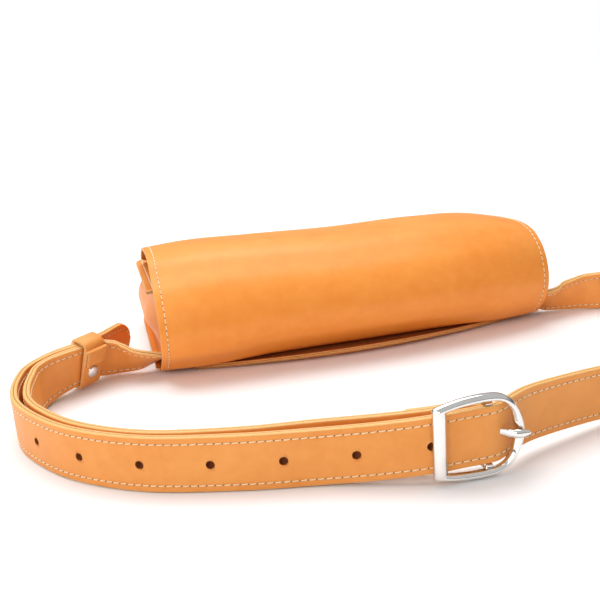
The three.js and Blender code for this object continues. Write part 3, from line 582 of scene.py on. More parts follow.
def make_flap():
    stations = 121
    across = np.linspace(-1, 1, stations)
    profiles = np.array([flap_profile(a) for a in across])
    total = lengths_along(profiles[0])[-1]
    places = sheet_steps(total, 150)
    from_end = total - places
    back_half = rounded_half(BODY_HALF, BODY_CORNER, places)
    flap_half = rounded_half(FLAP_LENGTH / 2, FLAP_CORNER, from_end)
    turned = smooth(places, BODY_DEPTH * 0.75, BODY_DEPTH * 1.05)
    half = mix(back_half, flap_half, turned)
    x = inner_steps(half, 74).T
    share = (x / half[:, None] + 1) / 2 * (stations - 1)
    low = np.clip(np.floor(share).astype(int), 0, stations - 2)
    part = (share - low)[..., None]
    step = places / total * (PROFILE_POINTS - 1)
    near = np.clip(np.floor(step).astype(int), 0, PROFILE_POINTS - 2)
    rest = (step - near)[:, None, None]
    line = near[:, None]
    lower = mix(profiles[low, line], profiles[low, line + 1], rest)
    upper = mix(profiles[low + 1, line], profiles[low + 1, line + 1], rest)
    grid = mix(lower, upper, part)
    grid[..., 0] = x
    distance = np.where(
        places[:, None] < total / 2,
        edge_distance(x, places[:, None], half[:, None].max(), BODY_CORNER),
        edge_distance(x, from_end[:, None], FLAP_LENGTH / 2, FLAP_CORNER),
    )
    sides = half[:, None] - np.abs(x)
    ends = np.minimum(places, from_end)[:, None]
    distance = np.where(ends > 40, sides, np.minimum(distance, sides))
    piece, front, normals = slab("flap_leather_sheet", grid, SHEET, distance, FLAP)
    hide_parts("flap_and_back_panel")
    seam("flap_seam", flap_sides(front), -flap_sides(normals))
    bottom = (SEAM_STEP, slice(SEAM_STEP, -SEAM_STEP))
    seam("back_bottom_seam", front[bottom], -normals[bottom])


def make_front_panel():
    depth = BODY_DEPTH - MOUTH_INSET
    y = MOUTH_INSET + sheet_steps(depth, 50)
    half = rounded_half(BODY_HALF, BODY_CORNER, BODY_DEPTH - y)
    x = inner_steps(half, 70).T
    y = np.broadcast_to(y[:, None], x.shape)
    grid = np.dstack([x, y, front_top(x, y)])
    distance = edge_distance(x, BODY_DEPTH - y, BODY_HALF, BODY_CORNER)
    distance = np.minimum(distance, half[:, None] - np.abs(x))
    open_end = np.minimum(distance, y - MOUTH_INSET)
    grid, open_end = grid[::-1, ::-1], open_end[::-1, ::-1]
    piece, front, normals = slab("front_leather_panel", grid, SHEET, open_end, BODY)
    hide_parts("front_panel")
    seam("front_seam", three_sides(front), -three_sides(normals))


GUSSET_ROWS = [
    # inset, crease, rise
    (0.0, 0, 0), (0.4, 0, 0), (0.78, 0, 0), (0.97, 0.01, 0.03), (1.0, 0.05, 0.09), (1.0, 0.3, 0.25),
    (1.0, 0.62, 0.42), (1.0, 0.55, 0.56), (1.0, 0.22, 0.76), (1.0, 0.04, 0.91), (0.97, 0.01, 0.97),
    (0.78, 0, 1), (0.4, 0, 1), (0.0, 0, 1),
]


def gusset_places():
    """Round the body's edge from the mouth's left end to its right: x, y, turn and crease."""
    places = []
    straight = BODY_DEPTH - BODY_CORNER - MOUTH_INSET
    for share in np.linspace(0, 1, 40, endpoint=False):
        places.append((-BODY_HALF, MOUTH_INSET + straight * share, math.pi, 1 - smooth(share, 0.02, 0.42)))
    for share in np.linspace(0, 1, 16, endpoint=False):
        turn = math.pi - math.pi / 2 * share
        x = -BODY_HALF + BODY_CORNER + BODY_CORNER * math.cos(turn)
        places.append((x, BODY_DEPTH - BODY_CORNER + BODY_CORNER * math.sin(turn), turn, 0.0))
    left = list(places)
    for x in np.linspace(-BODY_HALF + BODY_CORNER, BODY_HALF - BODY_CORNER, 61):
        places.append((x, BODY_DEPTH, math.pi / 2, 0.0))
    places.extend((-x, y, math.pi - turn, crease) for x, y, turn, crease in reversed(left))
    return np.array(places)


def make_gusset():
    places = gusset_places()
    x, y, turn, crease = (places[:, k, None] for k in range(4))
    rows = catmull(GUSSET_ROWS, np.linspace(0, len(GUSSET_ROWS) - 1, 66))
    inset, fold, rise = (rows[:, k] for k in range(3))
    low = BACK_TOP + CLEAR
    high = front_top(x, y) - SHEET - CLEAR
    push = mix(-GUSSET_BULGE, GUSSET_CREASE, crease)
    inward = inset * GUSSET_FLANGE + fold * push
    grid = np.dstack([
        x - inward * np.cos(turn), y - inward * np.sin(turn), mix(low, high, np.clip(rise, 0, 1)),
    ])
    across = lengths_along(grid[len(grid) // 2])
    along = lengths_along(grid[:, 0])
    distance = np.minimum(
        np.minimum(across, across[-1] - across)[None, :],
        np.minimum(along, along[-1] - along)[:, None],
    )
    piece = slab("gusset_leather", grid, GUSSET_WALL, distance, BODY)[0]
    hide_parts("gusset")


def make_pocket():
    bottom = BODY_DEPTH - POCKET_MARGIN
    half = POCKET_LENGTH / 2
    x = inner_steps(np.array([half]), 70)[:, 0]
    middle = 1 - (x / half) ** 2
    mouth = POCKET_INSET - POCKET_BOW * middle
    depth = bottom - mouth.min()
    share = (sheet_steps(depth, 46) / depth)[::-1, None]
    y = mix(mouth[None, :], bottom, share)
    lift = POCKET_LIFT * middle[None, :] * (1 - smooth(share, 0, 0.05))
    grid = np.dstack([np.broadcast_to(x, y.shape), y, lift])
    distance = np.minimum((half - np.abs(x))[None, :], np.minimum(share, 1 - share) * depth)
    piece, front, normals = slab("pocket_leather_panel", grid, POCKET_WALL, distance, BODY)
    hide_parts("back_pocket_panel")
    seam("pocket_seam", three_sides(front), -three_sides(normals))


# Belt

TIP_ROWS = [
    # out, back, lift, lean, gap
    (0.205, 1.074, 0.64, 102, 0), (0.295, 0.914, 0.68, 104, 0), (0.384, 0.711, 0.76, 105, 0),
    (0.4485, 0.543, 0.88, 107, 0), (0.518, 0.415, 0.96, 109, 0), (0.589, 0.296, 1.0, 110, 0.5),
    (0.6755, 0.153, 0.96, 108.5, 0.6), (0.7785, 0.01, 0.68, 101, 1.2), (0.8747, -0.148, 0.28, 93, 1.6),
]
KEEPER_ROW = 5
TURN_ROWS = [
    # left, front, lift, lean, gap
    (0.98, 0.078, 0.02, 90, 2.4), (0.993, 0.143, 0, 90, 3.2), (1.0, 0.25, 0, 90, 3.2),
    (0.989, 0.359, 0, 90, 2.6), (0.948, 0.473, 0, 90, 2.2), (0.863, 0.614, 0, 90, 1.9),
    (0.717, 0.746, 0, 90, 1.9), (0.523, 0.835, 0, 90, 3.2), (0.349, 0.893, 0.08, 90, 5.2),
    (0.225, 0.95, 0.45, 90, 5.0),
]
BUCKLE_ROWS = [
    # along, inward, lift, lean, gap
    (-0.54, 0.05, 0.82, 90, 3.8), (-0.26, 0.0125, 0.97, 90, 2.8), (0, 0, 1, 90, 0),
    (0.09, 0.011, 1, 90, 0), (0.17, 0.05, 1, 90, 0), (0.28, 0.105, 1, 90, 0), (0.4, 0.175, 1, 90, 0),
    (0.555, 0.255, 0.98, 90, 0), (0.78, 0.33, 0.93, 90, 0),
]
RIGHT_ROWS = [
    # right, front, lift, lean, gap
    (0.245, 0.884, 0.7, 90, 0), (0.35, 0.858, 0.45, 90, 0), (0.5, 0.834, 0.15, 90, 0),
    (0.66, 0.806, 0, 90, 0), (0.81, 0.735, 0, 90, 0), (0.935, 0.6, 0, 90, 0), (1.0, 0.43, 0, 90, 0),
    (0.995, 0.25, 0, 90, 0), (0.935, 0.105, 0, 90, 0),
]
RIGHT_END_ROWS = [
    # out, back, lift, lean
    (0.67, -0.12, 0.05, 93), (0.5, 0.04, 0.06, 98), (0.416, 0.12, 0.08, 101), (0.326, 0.24, 0.11, 107.5),
    (0.242, 0.32, 0.14, 117), (0.157, 0.4, 0.18, 125), (0.079, 0.45, 0.3, 137), (0.017, 0.55, 0.74, 151),
    (-0.022, 0.633, 1.0, 158),
]
LEFT_END_ROWS = [
    # out, back, lift, lean
    (-0.021, 0.72, 0.99, 162), (0.0487, 0.667, 0.74, 152), (0.111, 0.65, 0.49, 141),
    (0.202, 0.667, 0.36, 127.5), (0.2855, 0.67, 0.34, 120), (0.362, 0.633, 0.37, 115),
    (0.443, 0.56, 0.48, 111.5), (0.497, 0.455, 0.61, 110),
]
SEWN_ROWS = [
    # deep, back, lean
    (1, 1, 180), (0.5, 0.93, 171),
]


def sewn_end(side, seat):
    return [(side * (BODY_HALF - deep * STRAP_SEWN), back * (seat + STRAP_WIDTH), STRAP_SEAT, lean, 0)
            for deep, back, lean in SEWN_ROWS]


def hole_strap_rows():
    """Rows of the lower edge, x, y, z, lean and gap, from the tip to the bag's right end."""
    rows = []
    for out, back, lift, lean, gap in TIP_ROWS:
        rows.append((-mix(BODY_HALF, LOOP_LEFT, out), back * TIP_REACH, lift * KEEPER_RAISE, lean, gap))
    for left, front, lift, lean, gap in TURN_ROWS:
        rows.append((-left * LOOP_LEFT, -front * LOOP_FRONT, lift * BUCKLE_LIFT, lean, gap))
    for along, inward, lift, lean, gap in BUCKLE_ROWS:
        x, y = along * FRAME_LENGTH - BAR_PLACE, inward * FRAME_LENGTH - LOOP_FRONT
        rows.append((x, y, lift * BUCKLE_LIFT, lean, gap))
    for right, front, lift, lean, gap in RIGHT_ROWS:
        rows.append((right * LOOP_RIGHT, -front * LOOP_FRONT, lift * BUCKLE_LIFT, lean, gap))
    for out, back, lift, lean in RIGHT_END_ROWS:
        y = back * (SEAT_RIGHT + STRAP_WIDTH)
        rows.append((mix(BODY_HALF, LOOP_RIGHT, out), y, lift * STRAP_SEAT, lean, 0))
    return rows + sewn_end(1, SEAT_RIGHT)[::-1]


BAR_ROW = len(TIP_ROWS) + len(TURN_ROWS) + 2


def inward_of(direction):
    return unit(np.stack([-direction[..., 1], direction[..., 0], 0 * direction[..., 0]], axis=-1))


def across_of(run, lean):
    """The way a strap's width points from its lower edge. Lean is in degrees."""
    turn = np.radians(lean)[..., None]
    return -inward_of(run) * np.cos(turn) + np.array([0, 0, 1.0]) * np.sin(turn)


def inner_face_of(run, lean):
    level = unit(run * np.array([1, 1, 0]))
    return np.cross(across_of(run, lean), level)


def buckle_strap_rows(hole_rows):
    rows = sewn_end(-1, SEAT_LEFT)
    for out, back, lift, lean in LEFT_END_ROWS:
        y = back * (SEAT_LEFT + STRAP_WIDTH)
        rows.append((-mix(BODY_HALF, LOOP_LEFT, out), y, lift * STRAP_SEAT, lean, 0))
    for i in range(KEEPER_ROW, BAR_ROW + 1):
        here, before, after = (np.array(hole_rows[k][:3]) for k in (i, i - 1, i + 1))
        step = BAR_DEPTH if i == BAR_ROW else STRAP_STEP + hole_rows[i][4]
        lean = hole_rows[i][3]
        place = here + inner_face_of(after - before, lean) * step
        rows.append((*place, lean, 0))
    return rows


def strap_stations(rows, step=1.0):
    """Points close together along a strap's lower edge, with the ways it runs and faces."""
    rows = np.array(rows, float)
    places = []
    for k, gap in enumerate(np.linalg.norm(np.diff(rows[:, :3], axis=0), axis=1)):
        pieces = max(1, round(gap / step))
        places.extend(k + np.arange(pieces) / pieces)
    places.append(len(rows) - 1)
    places = np.array(places)
    points = catmull(rows[:, :3], places)
    points[:, 2] = np.maximum(points[:, 2], 0)
    run = unit(np.gradient(points, axis=0))
    lean = np.interp(places, np.arange(len(rows)), rows[:, 3])
    padded = np.pad(lean, 6, mode="edge")
    across = across_of(run, np.convolve(padded, np.ones(13) / 13, mode="valid"))
    outward = unit(np.cross(run, across))
    along = lengths_along(points)
    return {"place": points, "run": run, "across": across, "outward": outward, "along": along}


def strap_section():
    """Half of a strap's section, from the middle of its outer face round to that of its inner:
    distance from the edge, share of the half thickness, seam, cut edge and ply line."""
    half = STRAP_WIDTH / 2
    face = [half, 9.0, 6.0, 4.6, 3.9, 3.5, 3.3, 3.1, 2.9, 2.7, 2.3, 1.6, 0.9]
    rows = []
    for distance in face:
        mark = float(groove(distance, STRAP_SEAM))
        rows.append((distance, 1.0, mark, 0.0, 0.0))
    rows += [
        (0.5, 0.97, 0, 0.5, 0), (0.2, 0.86, 0, 0.9, 0), (0.04, 0.68, 0, 1, 0), (0.0, 0.4, 0, 1, 0),
        (0.0, 0.16, 0, 1, 0.2), (0.12, 0.05, 0, 1, 1.0),
    ]
    mirrored = [(distance, -share, mark, edge, ply) for distance, share, mark, edge, ply in reversed(rows)]
    return np.array(rows + mirrored)


def make_strap(name, stations, tip=0.0, outer=None, inner=None):
    """A strap of two layers sewn together, through its stations.

    outer and inner are the half thickness at each station on either face."""
    count = len(stations["along"])
    outer = np.full(count, STRAP_WALL / 2) if outer is None else outer
    inner = np.full(count, STRAP_WALL / 2) if inner is None else inner
    half = rounded_half(STRAP_WIDTH / 2, tip, stations["along"]) if tip else np.full(count, STRAP_WIDTH / 2)
    section = strap_section()
    whole = np.vstack([
        np.column_stack([section, np.ones(len(section))]),
        np.column_stack([section[::-1], -np.ones(len(section))])[1:-1],
    ])
    distance, share, mark, edge, ply, side = whole.T
    reach = side * np.maximum(half[:, None] - distance, 0)
    dent = GROOVE_DEPTH * mark
    thick = np.where(share > 0, share * (outer[:, None]) - dent, share * inner[:, None] + dent)
    middle = stations["place"] + stations["across"] * STRAP_WIDTH / 2
    points = (
        middle[:, None] + stations["across"][:, None] * reach[..., None]
        + stations["outward"][:, None] * thick[..., None]
    )
    size = len(whole)
    marks = {key: np.tile(values, count) for key, values in (("seam", mark), ("edge", edge), ("ply", ply))}
    return make_mesh(name, points.reshape(-1, 3), closed_tube_faces(count, size), BELT, marks=marks)


def strap_seams(name, stations, first, last, tip=0.0, faces=(1, -1)):
    """Both rows of stitches on each face of a strap, joined round its tip."""
    chosen = (stations["along"] >= first) & (stations["along"] <= last)
    place, across, outward = (stations[key][chosen] for key in ("place", "across", "outward"))
    along = stations["along"][chosen]
    half = rounded_half(STRAP_WIDTH / 2, tip, along) if tip else np.full(len(along), STRAP_WIDTH / 2)
    middle = place + across * STRAP_WIDTH / 2
    reach = np.maximum(half - STRAP_SEAM, 0)[:, None]
    for face in faces:
        lift = outward * face * (STRAP_WALL / 2 - GROOVE_DEPTH)
        low = middle - across * reach + lift
        high = middle + across * reach + lift
        label = f"{name}_{'outer' if face > 0 else 'inner'}"
        if tip:
            path = np.vstack([low[::-1], high])
            out = np.vstack([outward[::-1], outward]) * face
            seam(label, path, out)
        else:
            seam(label + "_low", low, outward * face)
            seam(label + "_high", high, outward * face)


def cut(piece, cutter):
    """Takes the cutter's shape out of the piece."""
    piece.modifiers.new("flat_faces", "TRIANGULATE")
    work = piece.modifiers.new("cut", "BOOLEAN")
    work.object = cutter
    work.solver = "EXACT"
    graph = bpy.context.evaluated_depsgraph_get()
    mesh = bpy.data.meshes.new_from_object(piece.evaluated_get(graph))
    piece.modifiers.clear()
    old = piece.data
    piece.data = mesh
    mesh.name = old.name
    bpy.data.meshes.remove(old)
    bpy.data.objects.remove(cutter)


def station_at(stations, along):
    return {key: np.array([np.interp(along, stations["along"], values[:, k]) for k in range(3)])
            for key, values in stations.items() if key != "along"}


def upright_rings(radii, levels, sides):
    turn = np.arange(sides) * 2 * np.pi / sides
    return np.array([[(r * math.cos(t), r * math.sin(t), z) for t in turn] for r, z in zip(radii, levels)])


def turned_shape(rings, axes, middle):
    """Rings about a local Z axis, set in three axes at a middle point."""
    return rings @ np.array(axes) + middle


def make_hole_strap(rows):
    stations = strap_stations(rows)
    tip = TIP_ROUNDING * STRAP_WIDTH
    strap = make_strap("hole_strap_leather", stations, tip=tip)
    bar = np.array(rows[BAR_ROW][:3])
    bar_along = stations["along"][np.argmin(np.linalg.norm(stations["place"] - bar, axis=1))]
    sides = 20
    for k in range(1, HOLE_COUNT + 1):
        here = station_at(stations, bar_along + HOLE_FROM_BAR - k * HOLE_PITCH)
        middle = here["place"] + here["across"] * STRAP_WIDTH / 2
        rings = upright_rings([HOLE_DIAMETER / 2] * 2, [-4, 4], sides)
        axes = (here["run"], here["across"], np.cross(here["run"], here["across"]))
        points = turned_shape(rings, axes, middle).reshape(-1, 3)
        cut(strap, make_mesh("hole_cutter", points, closed_tube_faces(2, sides), STITCH_HOLE_SHADE))
        # A dark cup in each belt hole: its wall and its bottom disc are painted shade inside the hole.
        shade_cup = upright_rings([HOLE_DIAMETER / 2 - 0.02] * 2 + [0.0], [-1.1, 1.1, -1.1], sides)[[1, 0, 2]]
        make_mesh(f"belt_hole_shade_{k}_shade_cup", turned_shape(shade_cup, axes, middle).reshape(-1, 3),
                  grid_faces(3, sides, closed_columns=True), BELT_HOLE_SHADE)
    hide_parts("hole_strap")
    last = stations["along"][-1] - STRAP_SEWN * SEWN_SEAM_SHARE
    strap_seams("hole_strap_seam", stations, 0, last, tip=tip)


def make_buckle_strap(hole_rows):
    rows = buckle_strap_rows(hole_rows)
    stations = strap_stations(rows)
    along = stations["along"]
    from_bar = along[-1] - along
    eye = BAR_RADIUS + CLEAR + FOLD_WALL
    near = smooth(from_bar, 9, 1)
    outer = mix(STRAP_WALL / 2, eye, near)
    folded = STRAP_WALL / 2 + FOLD_WALL * smooth(from_bar, FOLD_RETURN, FOLD_RETURN - 0.6)
    inner = mix(folded, eye, near)
    end = {key: values[-1] for key, values in stations.items() if key != "along"}
    turns = np.linspace(0, 1, 14)[1:] * 0.98
    extra = {key: [] for key in end}
    for turn in turns:
        extra["place"].append(end["place"] + end["run"] * eye * turn)
        for key in ("run", "across", "outward"):
            extra[key].append(end[key])
    for key in extra:
        stations[key] = np.vstack([stations[key], extra[key]])
    stations["along"] = np.concatenate([along, along[-1] + eye * turns])
    round_off = eye * np.sqrt(1 - turns ** 2)
    outer = np.concatenate([outer, round_off])
    inner = np.concatenate([inner, round_off])
    strap = make_strap("buckle_strap_leather", stations, outer=outer, inner=inner)
    middle = np.array(rows[-1][:3]) + np.array([0, 0, STRAP_WIDTH / 2])
    slot = 2 * (BAR_RADIUS + FOLD_WALL + PRONG_RING)
    high = PRONG_HEIGHT / 2 + CLEAR
    corners = [(x, y, z) for x in (-slot, 2 * slot) for y in (-slot, slot) for z in (-high, high)]
    box_faces = [(0, 1, 3, 2), (4, 6, 7, 5), (0, 4, 5, 1), (2, 3, 7, 6), (0, 2, 6, 4), (1, 5, 7, 3)]
    cut(strap, make_mesh("slot_cutter", np.array(corners) + middle, box_faces, STITCH_HOLE_SHADE))
    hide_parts("buckle_strap")
    first = STRAP_SEWN * SEWN_SEAM_SHARE
    strap_seams("buckle_strap_seam", stations, first, along[-1] - FOLD_RETURN - 1, faces=(-1,))
    strap_seams("buckle_strap_seam", stations, first, along[-1] - 10, faces=(1,))
    return middle


# Buckle

FRAME_ROWS = [
    # along, outer, inset, inner
    (0.0, 0.8, 0.145, 0.725), (0.02, 0.845, 0.15, 0.742), (0.16, 0.925, 0.24, 0.775),
    (0.34, 0.985, 0.38, 0.8), (0.56, 1.0, 0.55, 0.81), (0.72, 0.95, 0.68, 0.79), (0.83, 0.82, 0.77, 0.7),
    (0.92, 0.6, 0.84, 0.5), (0.98, 0.31, 0.872, 0.25), (1.0, 0.0, 0.888, 0.0),
]
FRAME_SECTION = [
    # inward, depth
    (0.0, 0.0), (0.02, 0.5), (0.38, 1.0), (0.72, 1.0), (1.0, 0.6), (1.0, 0.0),
]
PRONG_ROWS = [
    # along, rise
    (0.0, 0.0), (0.12, 0.46), (0.21, 0.86), (0.275, 1.02), (0.36, 1.03), (0.405, 1.0),
]


def soft_corners(polygon, radius, steps=4):
    """A closed polygon with each corner rounded."""
    polygon = np.array(polygon, float)
    points = []
    for k, corner in enumerate(polygon):
        before, after = polygon[k - 1] - corner, polygon[(k + 1) % len(polygon)] - corner
        reach = min(radius, 0.45 * np.linalg.norm(before), 0.45 * np.linalg.norm(after))
        start, end = corner + unit(before) * reach, corner + unit(after) * reach
        for t in np.linspace(0, 1, steps):
            points.append(mix(mix(start, corner, t), mix(corner, end, t), t))
    return np.array(points)


def frame_rings():
    half = FRAME_HEIGHT / 2
    left = -BAR_SHARE * FRAME_LENGTH
    upper = np.array(FRAME_ROWS)
    lower = upper[:-1][::-1].copy()
    lower[:, [1, 3]] *= -1
    loop = np.vstack([upper, lower])
    fine = catmull(loop, np.linspace(0, len(loop) - 1, 160))
    bar = np.linspace(fine[-1], fine[0], 26)[1:-1]
    fine = np.vstack([fine, bar])
    rings = []
    for along, outer, inset, inner in fine:
        bar_width = math.hypot((inset - along) * FRAME_LENGTH, (outer - inner) * half)
        polygon = [(inward * bar_width, -FRAME_DEPTH * depth) for inward, depth in FRAME_SECTION]
        ring = []
        for inward, depth in soft_corners(polygon, 0.5):
            share = inward / max(bar_width, 1e-6)
            ring.append((
                left + FRAME_LENGTH * mix(along, inset, share), -BAR_DEPTH + depth,
                half * mix(outer, inner, share),
            ))
        rings.append(ring)
    return np.array(rings)


def make_buckle(middle):
    rings = frame_rings()
    count, size = rings.shape[:2]
    points = rings.reshape(-1, 3)
    faces = grid_faces(count, size, closed_rows=True, closed_columns=True)
    piece = make_mesh("buckle_frame_polished", points + middle, faces, STEEL)
    half = FRAME_HEIGHT / 2
    reach, upper_reach = 0.84 * half, 0.75 * half
    sides = 28
    bar = upright_rings([BAR_RADIUS] * 2, [-reach, upper_reach], sides)
    make_mesh("buckle_bar", bar.reshape(-1, 3) + middle, closed_tube_faces(2, sides), STEEL)
    lug_low = STRAP_WIDTH / 2 + 2 * CLEAR
    for side, label, end in ((1, "upper", upper_reach), (-1, "lower", reach)):
        rows = []
        for level, width in ((lug_low, 0.8), (lug_low + 0.4, 1.0), (end, 1.05)):
            w, back, front = BAR_RADIUS * width, BAR_RADIUS * width, BAR_DEPTH + 0.4 * FRAME_DEPTH
            outline = soft_corners([(-w, back), (w, back), (w, -front), (-w, -front)], 0.9)
            rows.append([(x, y, side * level) for x, y in outline])
        rows = np.array(rows if side > 0 else rows[::-1])
        lug_faces = closed_tube_faces(len(rows), rows.shape[1])
        make_mesh(f"buckle_lug_{label}", rows.reshape(-1, 3) + middle, lug_faces, STEEL)
    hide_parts("buckle_frame")


def make_prong(middle):
    rise = BAR_DEPTH + FRAME_DEPTH + CLEAR + PRONG_THICK / 2
    line = np.array([(along * FRAME_LENGTH, -share * rise, 0) for along, share in PRONG_ROWS])
    line = spread(catmull(line, np.linspace(0, len(line) - 1, 90)), 60)
    run = unit(np.gradient(line, axis=0))
    lift = np.column_stack([run[:, 1], -run[:, 0], run[:, 2]])
    from_tip = lengths_along(line)[-1] - lengths_along(line)
    taper = 1 - 0.45 * smooth(from_tip, 4.5, 0)
    blunt = np.sqrt(np.clip(from_tip / 1.2, 0, 1) * (2 - np.clip(from_tip / 1.2, 0, 1)))
    half_high, half_thick = PRONG_HEIGHT / 2, PRONG_THICK / 2
    polygon = soft_corners([
        (-half_high, -half_thick), (half_high, -half_thick), (half_high, 0.3), (0.7, half_thick),
        (-0.7, half_thick), (-half_high, 0.3),
    ], 0.5)
    rings = []
    for k, point in enumerate(line):
        size, thick = taper[k] * max(blunt[k], 0.25), max(blunt[k], 0.4)
        rings.append([point + np.array([0, 0, z * size]) + lift[k] * (t * thick) for z, t in polygon])
    rings = np.array(rings)
    faces = closed_tube_faces(len(rings), rings.shape[1])
    piece = make_mesh("buckle_prong_polished", rings.reshape(-1, 3) + middle, faces, STEEL)
    outer = BAR_RADIUS + CLEAR + PRONG_RING
    ring = upright_rings([outer - 0.35, outer, outer, outer - 0.35],
                         [-half_high, 0.35 - half_high, half_high - 0.35, half_high], 28)
    make_mesh("buckle_prong_ring", ring.reshape(-1, 3) + middle, closed_tube_faces(4, 28), STEEL)
    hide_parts("buckle_prong")


# Keeper

def keeper_axes(rows):
    """Along the belt, out of the straps' inner face and up their width, from the keeper's foot."""
    before, here, after = (np.array(rows[KEEPER_ROW + k][:3]) for k in (-1, 0, 1))
    lean, gap = rows[KEEPER_ROW][3:]
    run = unit((after - before) * np.array([1, 1, 0]))
    inner, across = inner_face_of(run, lean), across_of(run, lean)
    foot = here + inner * (STRAP_STEP + gap) / 2 - across * KEEPER_LIFT
    return np.array([run, inner, across]), foot


def make_keeper(rows):
    axes, middle = keeper_axes(rows)
    high = KEEPER_LIFT + STRAP_WIDTH + 2 * CLEAR
    inner, wall = KEEPER_INNER, KEEPER_WALL
    outer = inner + wall
    outline = [(outer, 0), (outer, high + wall), (-outer, high + wall), (-outer, 0)]
    outline = soft_corners(outline, 5.0, 9)
    hollow = [(inner, wall), (inner, high), (-inner, high), (-inner, wall)]
    hollow = soft_corners(hollow, 1.6, 9)
    half = KEEPER_WIDTH / 2
    # along from the edge, share from the outline to the hollow, mark of the cut edge
    rim = [
        (EDGE_ROUND, 0, 0), (0.15, 0.08, 0.6), (0, 0.25, 1),
        (0, 0.75, 1), (0.15, 0.92, 0.6), (EDGE_ROUND, 1, 0),
    ]
    profile = [(inset - half, share, edge, share == 1) for inset, share, edge in rim]
    profile += [(half - inset, share, edge, share == 1) for inset, share, edge in reversed(rim)]
    rings = []
    for along, share, _, _ in profile:
        loop = {0: outline, 1: hollow}.get(share, mix(outline, hollow, share))
        rings.append([(along, y, z) for y, z in loop])
    rings = np.array(rings)
    count, size = rings.shape[:2]
    faces = grid_faces(count, size, closed_rows=True, closed_columns=True)
    marks = {
        "edge": np.repeat([row[2] for row in profile], size),
        "rough": np.repeat([float(row[3]) for row in profile], size),
    }
    points = rings.reshape(-1, 3) @ axes + middle
    piece = make_mesh("keeper_leather", points, faces, BELT, marks=marks)
    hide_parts("keeper_loop")
    make_keeper_lap(axes, middle, outer, high)
    make_keeper_rivet(axes, middle, outer)


def make_keeper_lap(axes, middle, outer, high):
    """The keeper's end that laps over its inner face, with rounded edges."""
    half, low = KEEPER_WIDTH / 2, high - KEEPER_LAP
    near = np.array([0, 0.15, LAP_ROUND])
    levels = np.concatenate([low + near, np.linspace(low + 2, high - 1.4, 8)])
    soften = np.concatenate([[0.45, 0.15, 0], np.zeros(8)])
    across = np.concatenate([near - half, np.linspace(2 - half, half - 2, 6), half - near[::-1]])
    side = np.minimum(half - np.abs(across), LAP_ROUND)
    edge = np.clip(1 - side / LAP_ROUND, 0, 1)
    rounding = LAP_ROUND * (1 - np.sqrt(1 - edge ** 2))
    grid = np.array([[(a, outer + KEEPER_WALL - max(s, r), z) for a, r in zip(across, rounding)]
                     for z, s in zip(levels, soften)])
    back = grid.copy()
    back[..., 1] = outer - LAP_SINK
    rows, columns = grid.shape[:2]
    points = np.vstack([grid.reshape(-1, 3), back.reshape(-1, 3)])
    first = grid_faces(rows, columns)
    count = rows * columns
    ring, after = grid_border(rows, columns)
    wall_faces = np.column_stack([after, ring, ring + count, after + count])
    faces = np.vstack([first, first[:, ::-1] + count, wall_faces])
    edge = np.tile(edge, (rows, 1))
    edge[:2] = 1
    marks = {"edge": np.tile(edge.ravel(), 2)}
    make_mesh("keeper_lap", points @ axes + middle, faces, BELT, marks=marks)


def make_keeper_rivet(axes, middle, outer):
    sides = 32
    steps = np.linspace(0, math.pi / 2, 9)[1:-1]
    radii = np.concatenate([[RIVET_RADIUS, RIVET_RADIUS], RIVET_RADIUS * np.cos(steps), [0.02]])
    dome = RIVET_EDGE + (RIVET_RISE - RIVET_EDGE) * np.sin(steps)
    rises = np.concatenate([[-RIVET_SINK, RIVET_EDGE], dome, [RIVET_RISE]])
    cap = upright_rings(radii, rises, sides)
    level = KEEPER_LIFT + STRAP_WIDTH - KEEPER_LAP - RIVET_RADIUS - RIVET_GAP
    centre = middle + axes[1] * (outer + CLEAR) + axes[2] * level
    points = cap.reshape(-1, 3) @ axes[[0, 2, 1]] + centre
    rivet = make_mesh("keeper_rivet_cap", points, closed_tube_faces(len(cap), sides), STEEL)
    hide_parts("keeper_rivet")


# Surroundings

def make_floor():
    reach, level = 6000, 1000 * min(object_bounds()[0].z, cad_low.z) - 0.05
    corners = ((-1, -1), (1, -1), (1, 1), (-1, 1))
    points = [(x * reach, y * reach, level) for x, y in corners]
    mesh = bpy.data.meshes.new("floor")
    mesh.from_pydata((np.array(points) / 1000).tolist(), [], [(0, 1, 2, 3)])
    n = Nodes("floor_paper")
    n.put("Base Color", linear(246, 246, 247))
    n.put("Roughness", 0.75)
    n.put("Specular IOR Level", 0.2)
    # Painted light: the floor glows more the further it lies from the bag, so the far floor stays white.
    distance = n.add("ShaderNodeVectorMath", {0: n.place}, operation="LENGTH").outputs["Value"]
    n.put("Emission Color", linear(255, 255, 255))
    n.put("Emission Strength", n.span(distance, 0.35, 1.1, 0.0, 0.7))
    mesh.materials.append(n.material)
    new_object("floor", mesh)


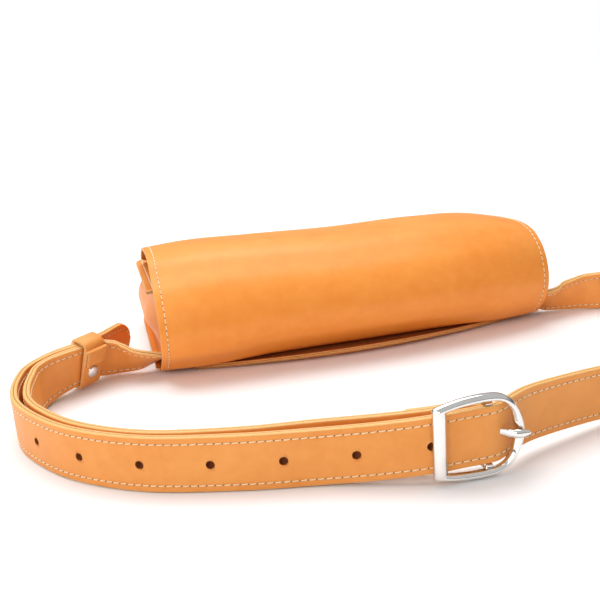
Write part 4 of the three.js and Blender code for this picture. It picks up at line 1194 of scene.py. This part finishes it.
def area_light(name, place, aim, size, power):
    data = bpy.data.lights.new(name, "AREA")
    data.shape = "RECTANGLE"
    data.size, data.size_y = size
    data.energy = power
    light = new_object(name, data)
    light.location = placed(place)
    way = Vector(placed(aim) - placed(place))
    light.rotation_mode = "QUATERNION"
    light.rotation_quaternion = way.to_track_quat("-Z", "Y")


WORLD_STOPS = [
    # height of the view, brightness
    (0.0, 0.32), (0.12, 0.13), (0.26, 0.26), (0.42, 0.58), (1.0, 0.6),
]


def make_world():
    """A studio round the object, which the camera itself sees as plain white."""
    world = bpy.data.worlds.new("studio")
    bpy.context.scene.world = world
    world.use_nodes = True
    tree = world.node_tree
    tree.nodes.clear()
    place = tree.nodes.new("ShaderNodeTexCoord")
    split = tree.nodes.new("ShaderNodeSeparateXYZ")
    ramp = tree.nodes.new("ShaderNodeValToRGB")
    path = tree.nodes.new("ShaderNodeLightPath")
    choose = tree.nodes.new("ShaderNodeMix")
    choose.data_type = "RGBA"
    back = tree.nodes.new("ShaderNodeBackground")
    out = tree.nodes.new("ShaderNodeOutputWorld")
    ramp.color_ramp.elements[0].position = WORLD_STOPS[0][0]
    ramp.color_ramp.elements[1].position = WORLD_STOPS[-1][0]
    for position, _ in WORLD_STOPS[1:-1]:
        ramp.color_ramp.elements.new(position)
    for element, (_, value) in zip(ramp.color_ramp.elements, WORLD_STOPS):
        element.color = (value, value, value * 1.01, 1)
    choose.inputs[7].default_value = (1, 1, 1, 1)
    for source, target in (
        (place.outputs["Generated"], split.inputs[0]),
        (split.outputs["Z"], ramp.inputs[0]),
        (path.outputs["Is Camera Ray"], choose.inputs[0]),
        (ramp.outputs["Color"], choose.inputs[6]),
        (choose.outputs[2], back.inputs["Color"]),
        (back.outputs[0], out.inputs[0]),
    ):
        tree.links.new(source, target)


make_camera()
make_world()
area_light("overhead", (-100, 250, 900), (0, 0, 0), (1.0, 0.8), 9.5)
area_light("front_fill", (-800, -750, 520), (0, -40, 30), (0.9, 0.7), 4.4)

make_flap()
make_front_panel()
make_gusset()
make_pocket()
hole_rows = hole_strap_rows()
make_hole_strap(hole_rows)
bar_middle = make_buckle_strap(hole_rows)
make_buckle(bar_middle)
make_prong(bar_middle)
make_keeper(hole_rows)
make_floor()

bpy.context.scene.view_settings.view_transform = "Standard"
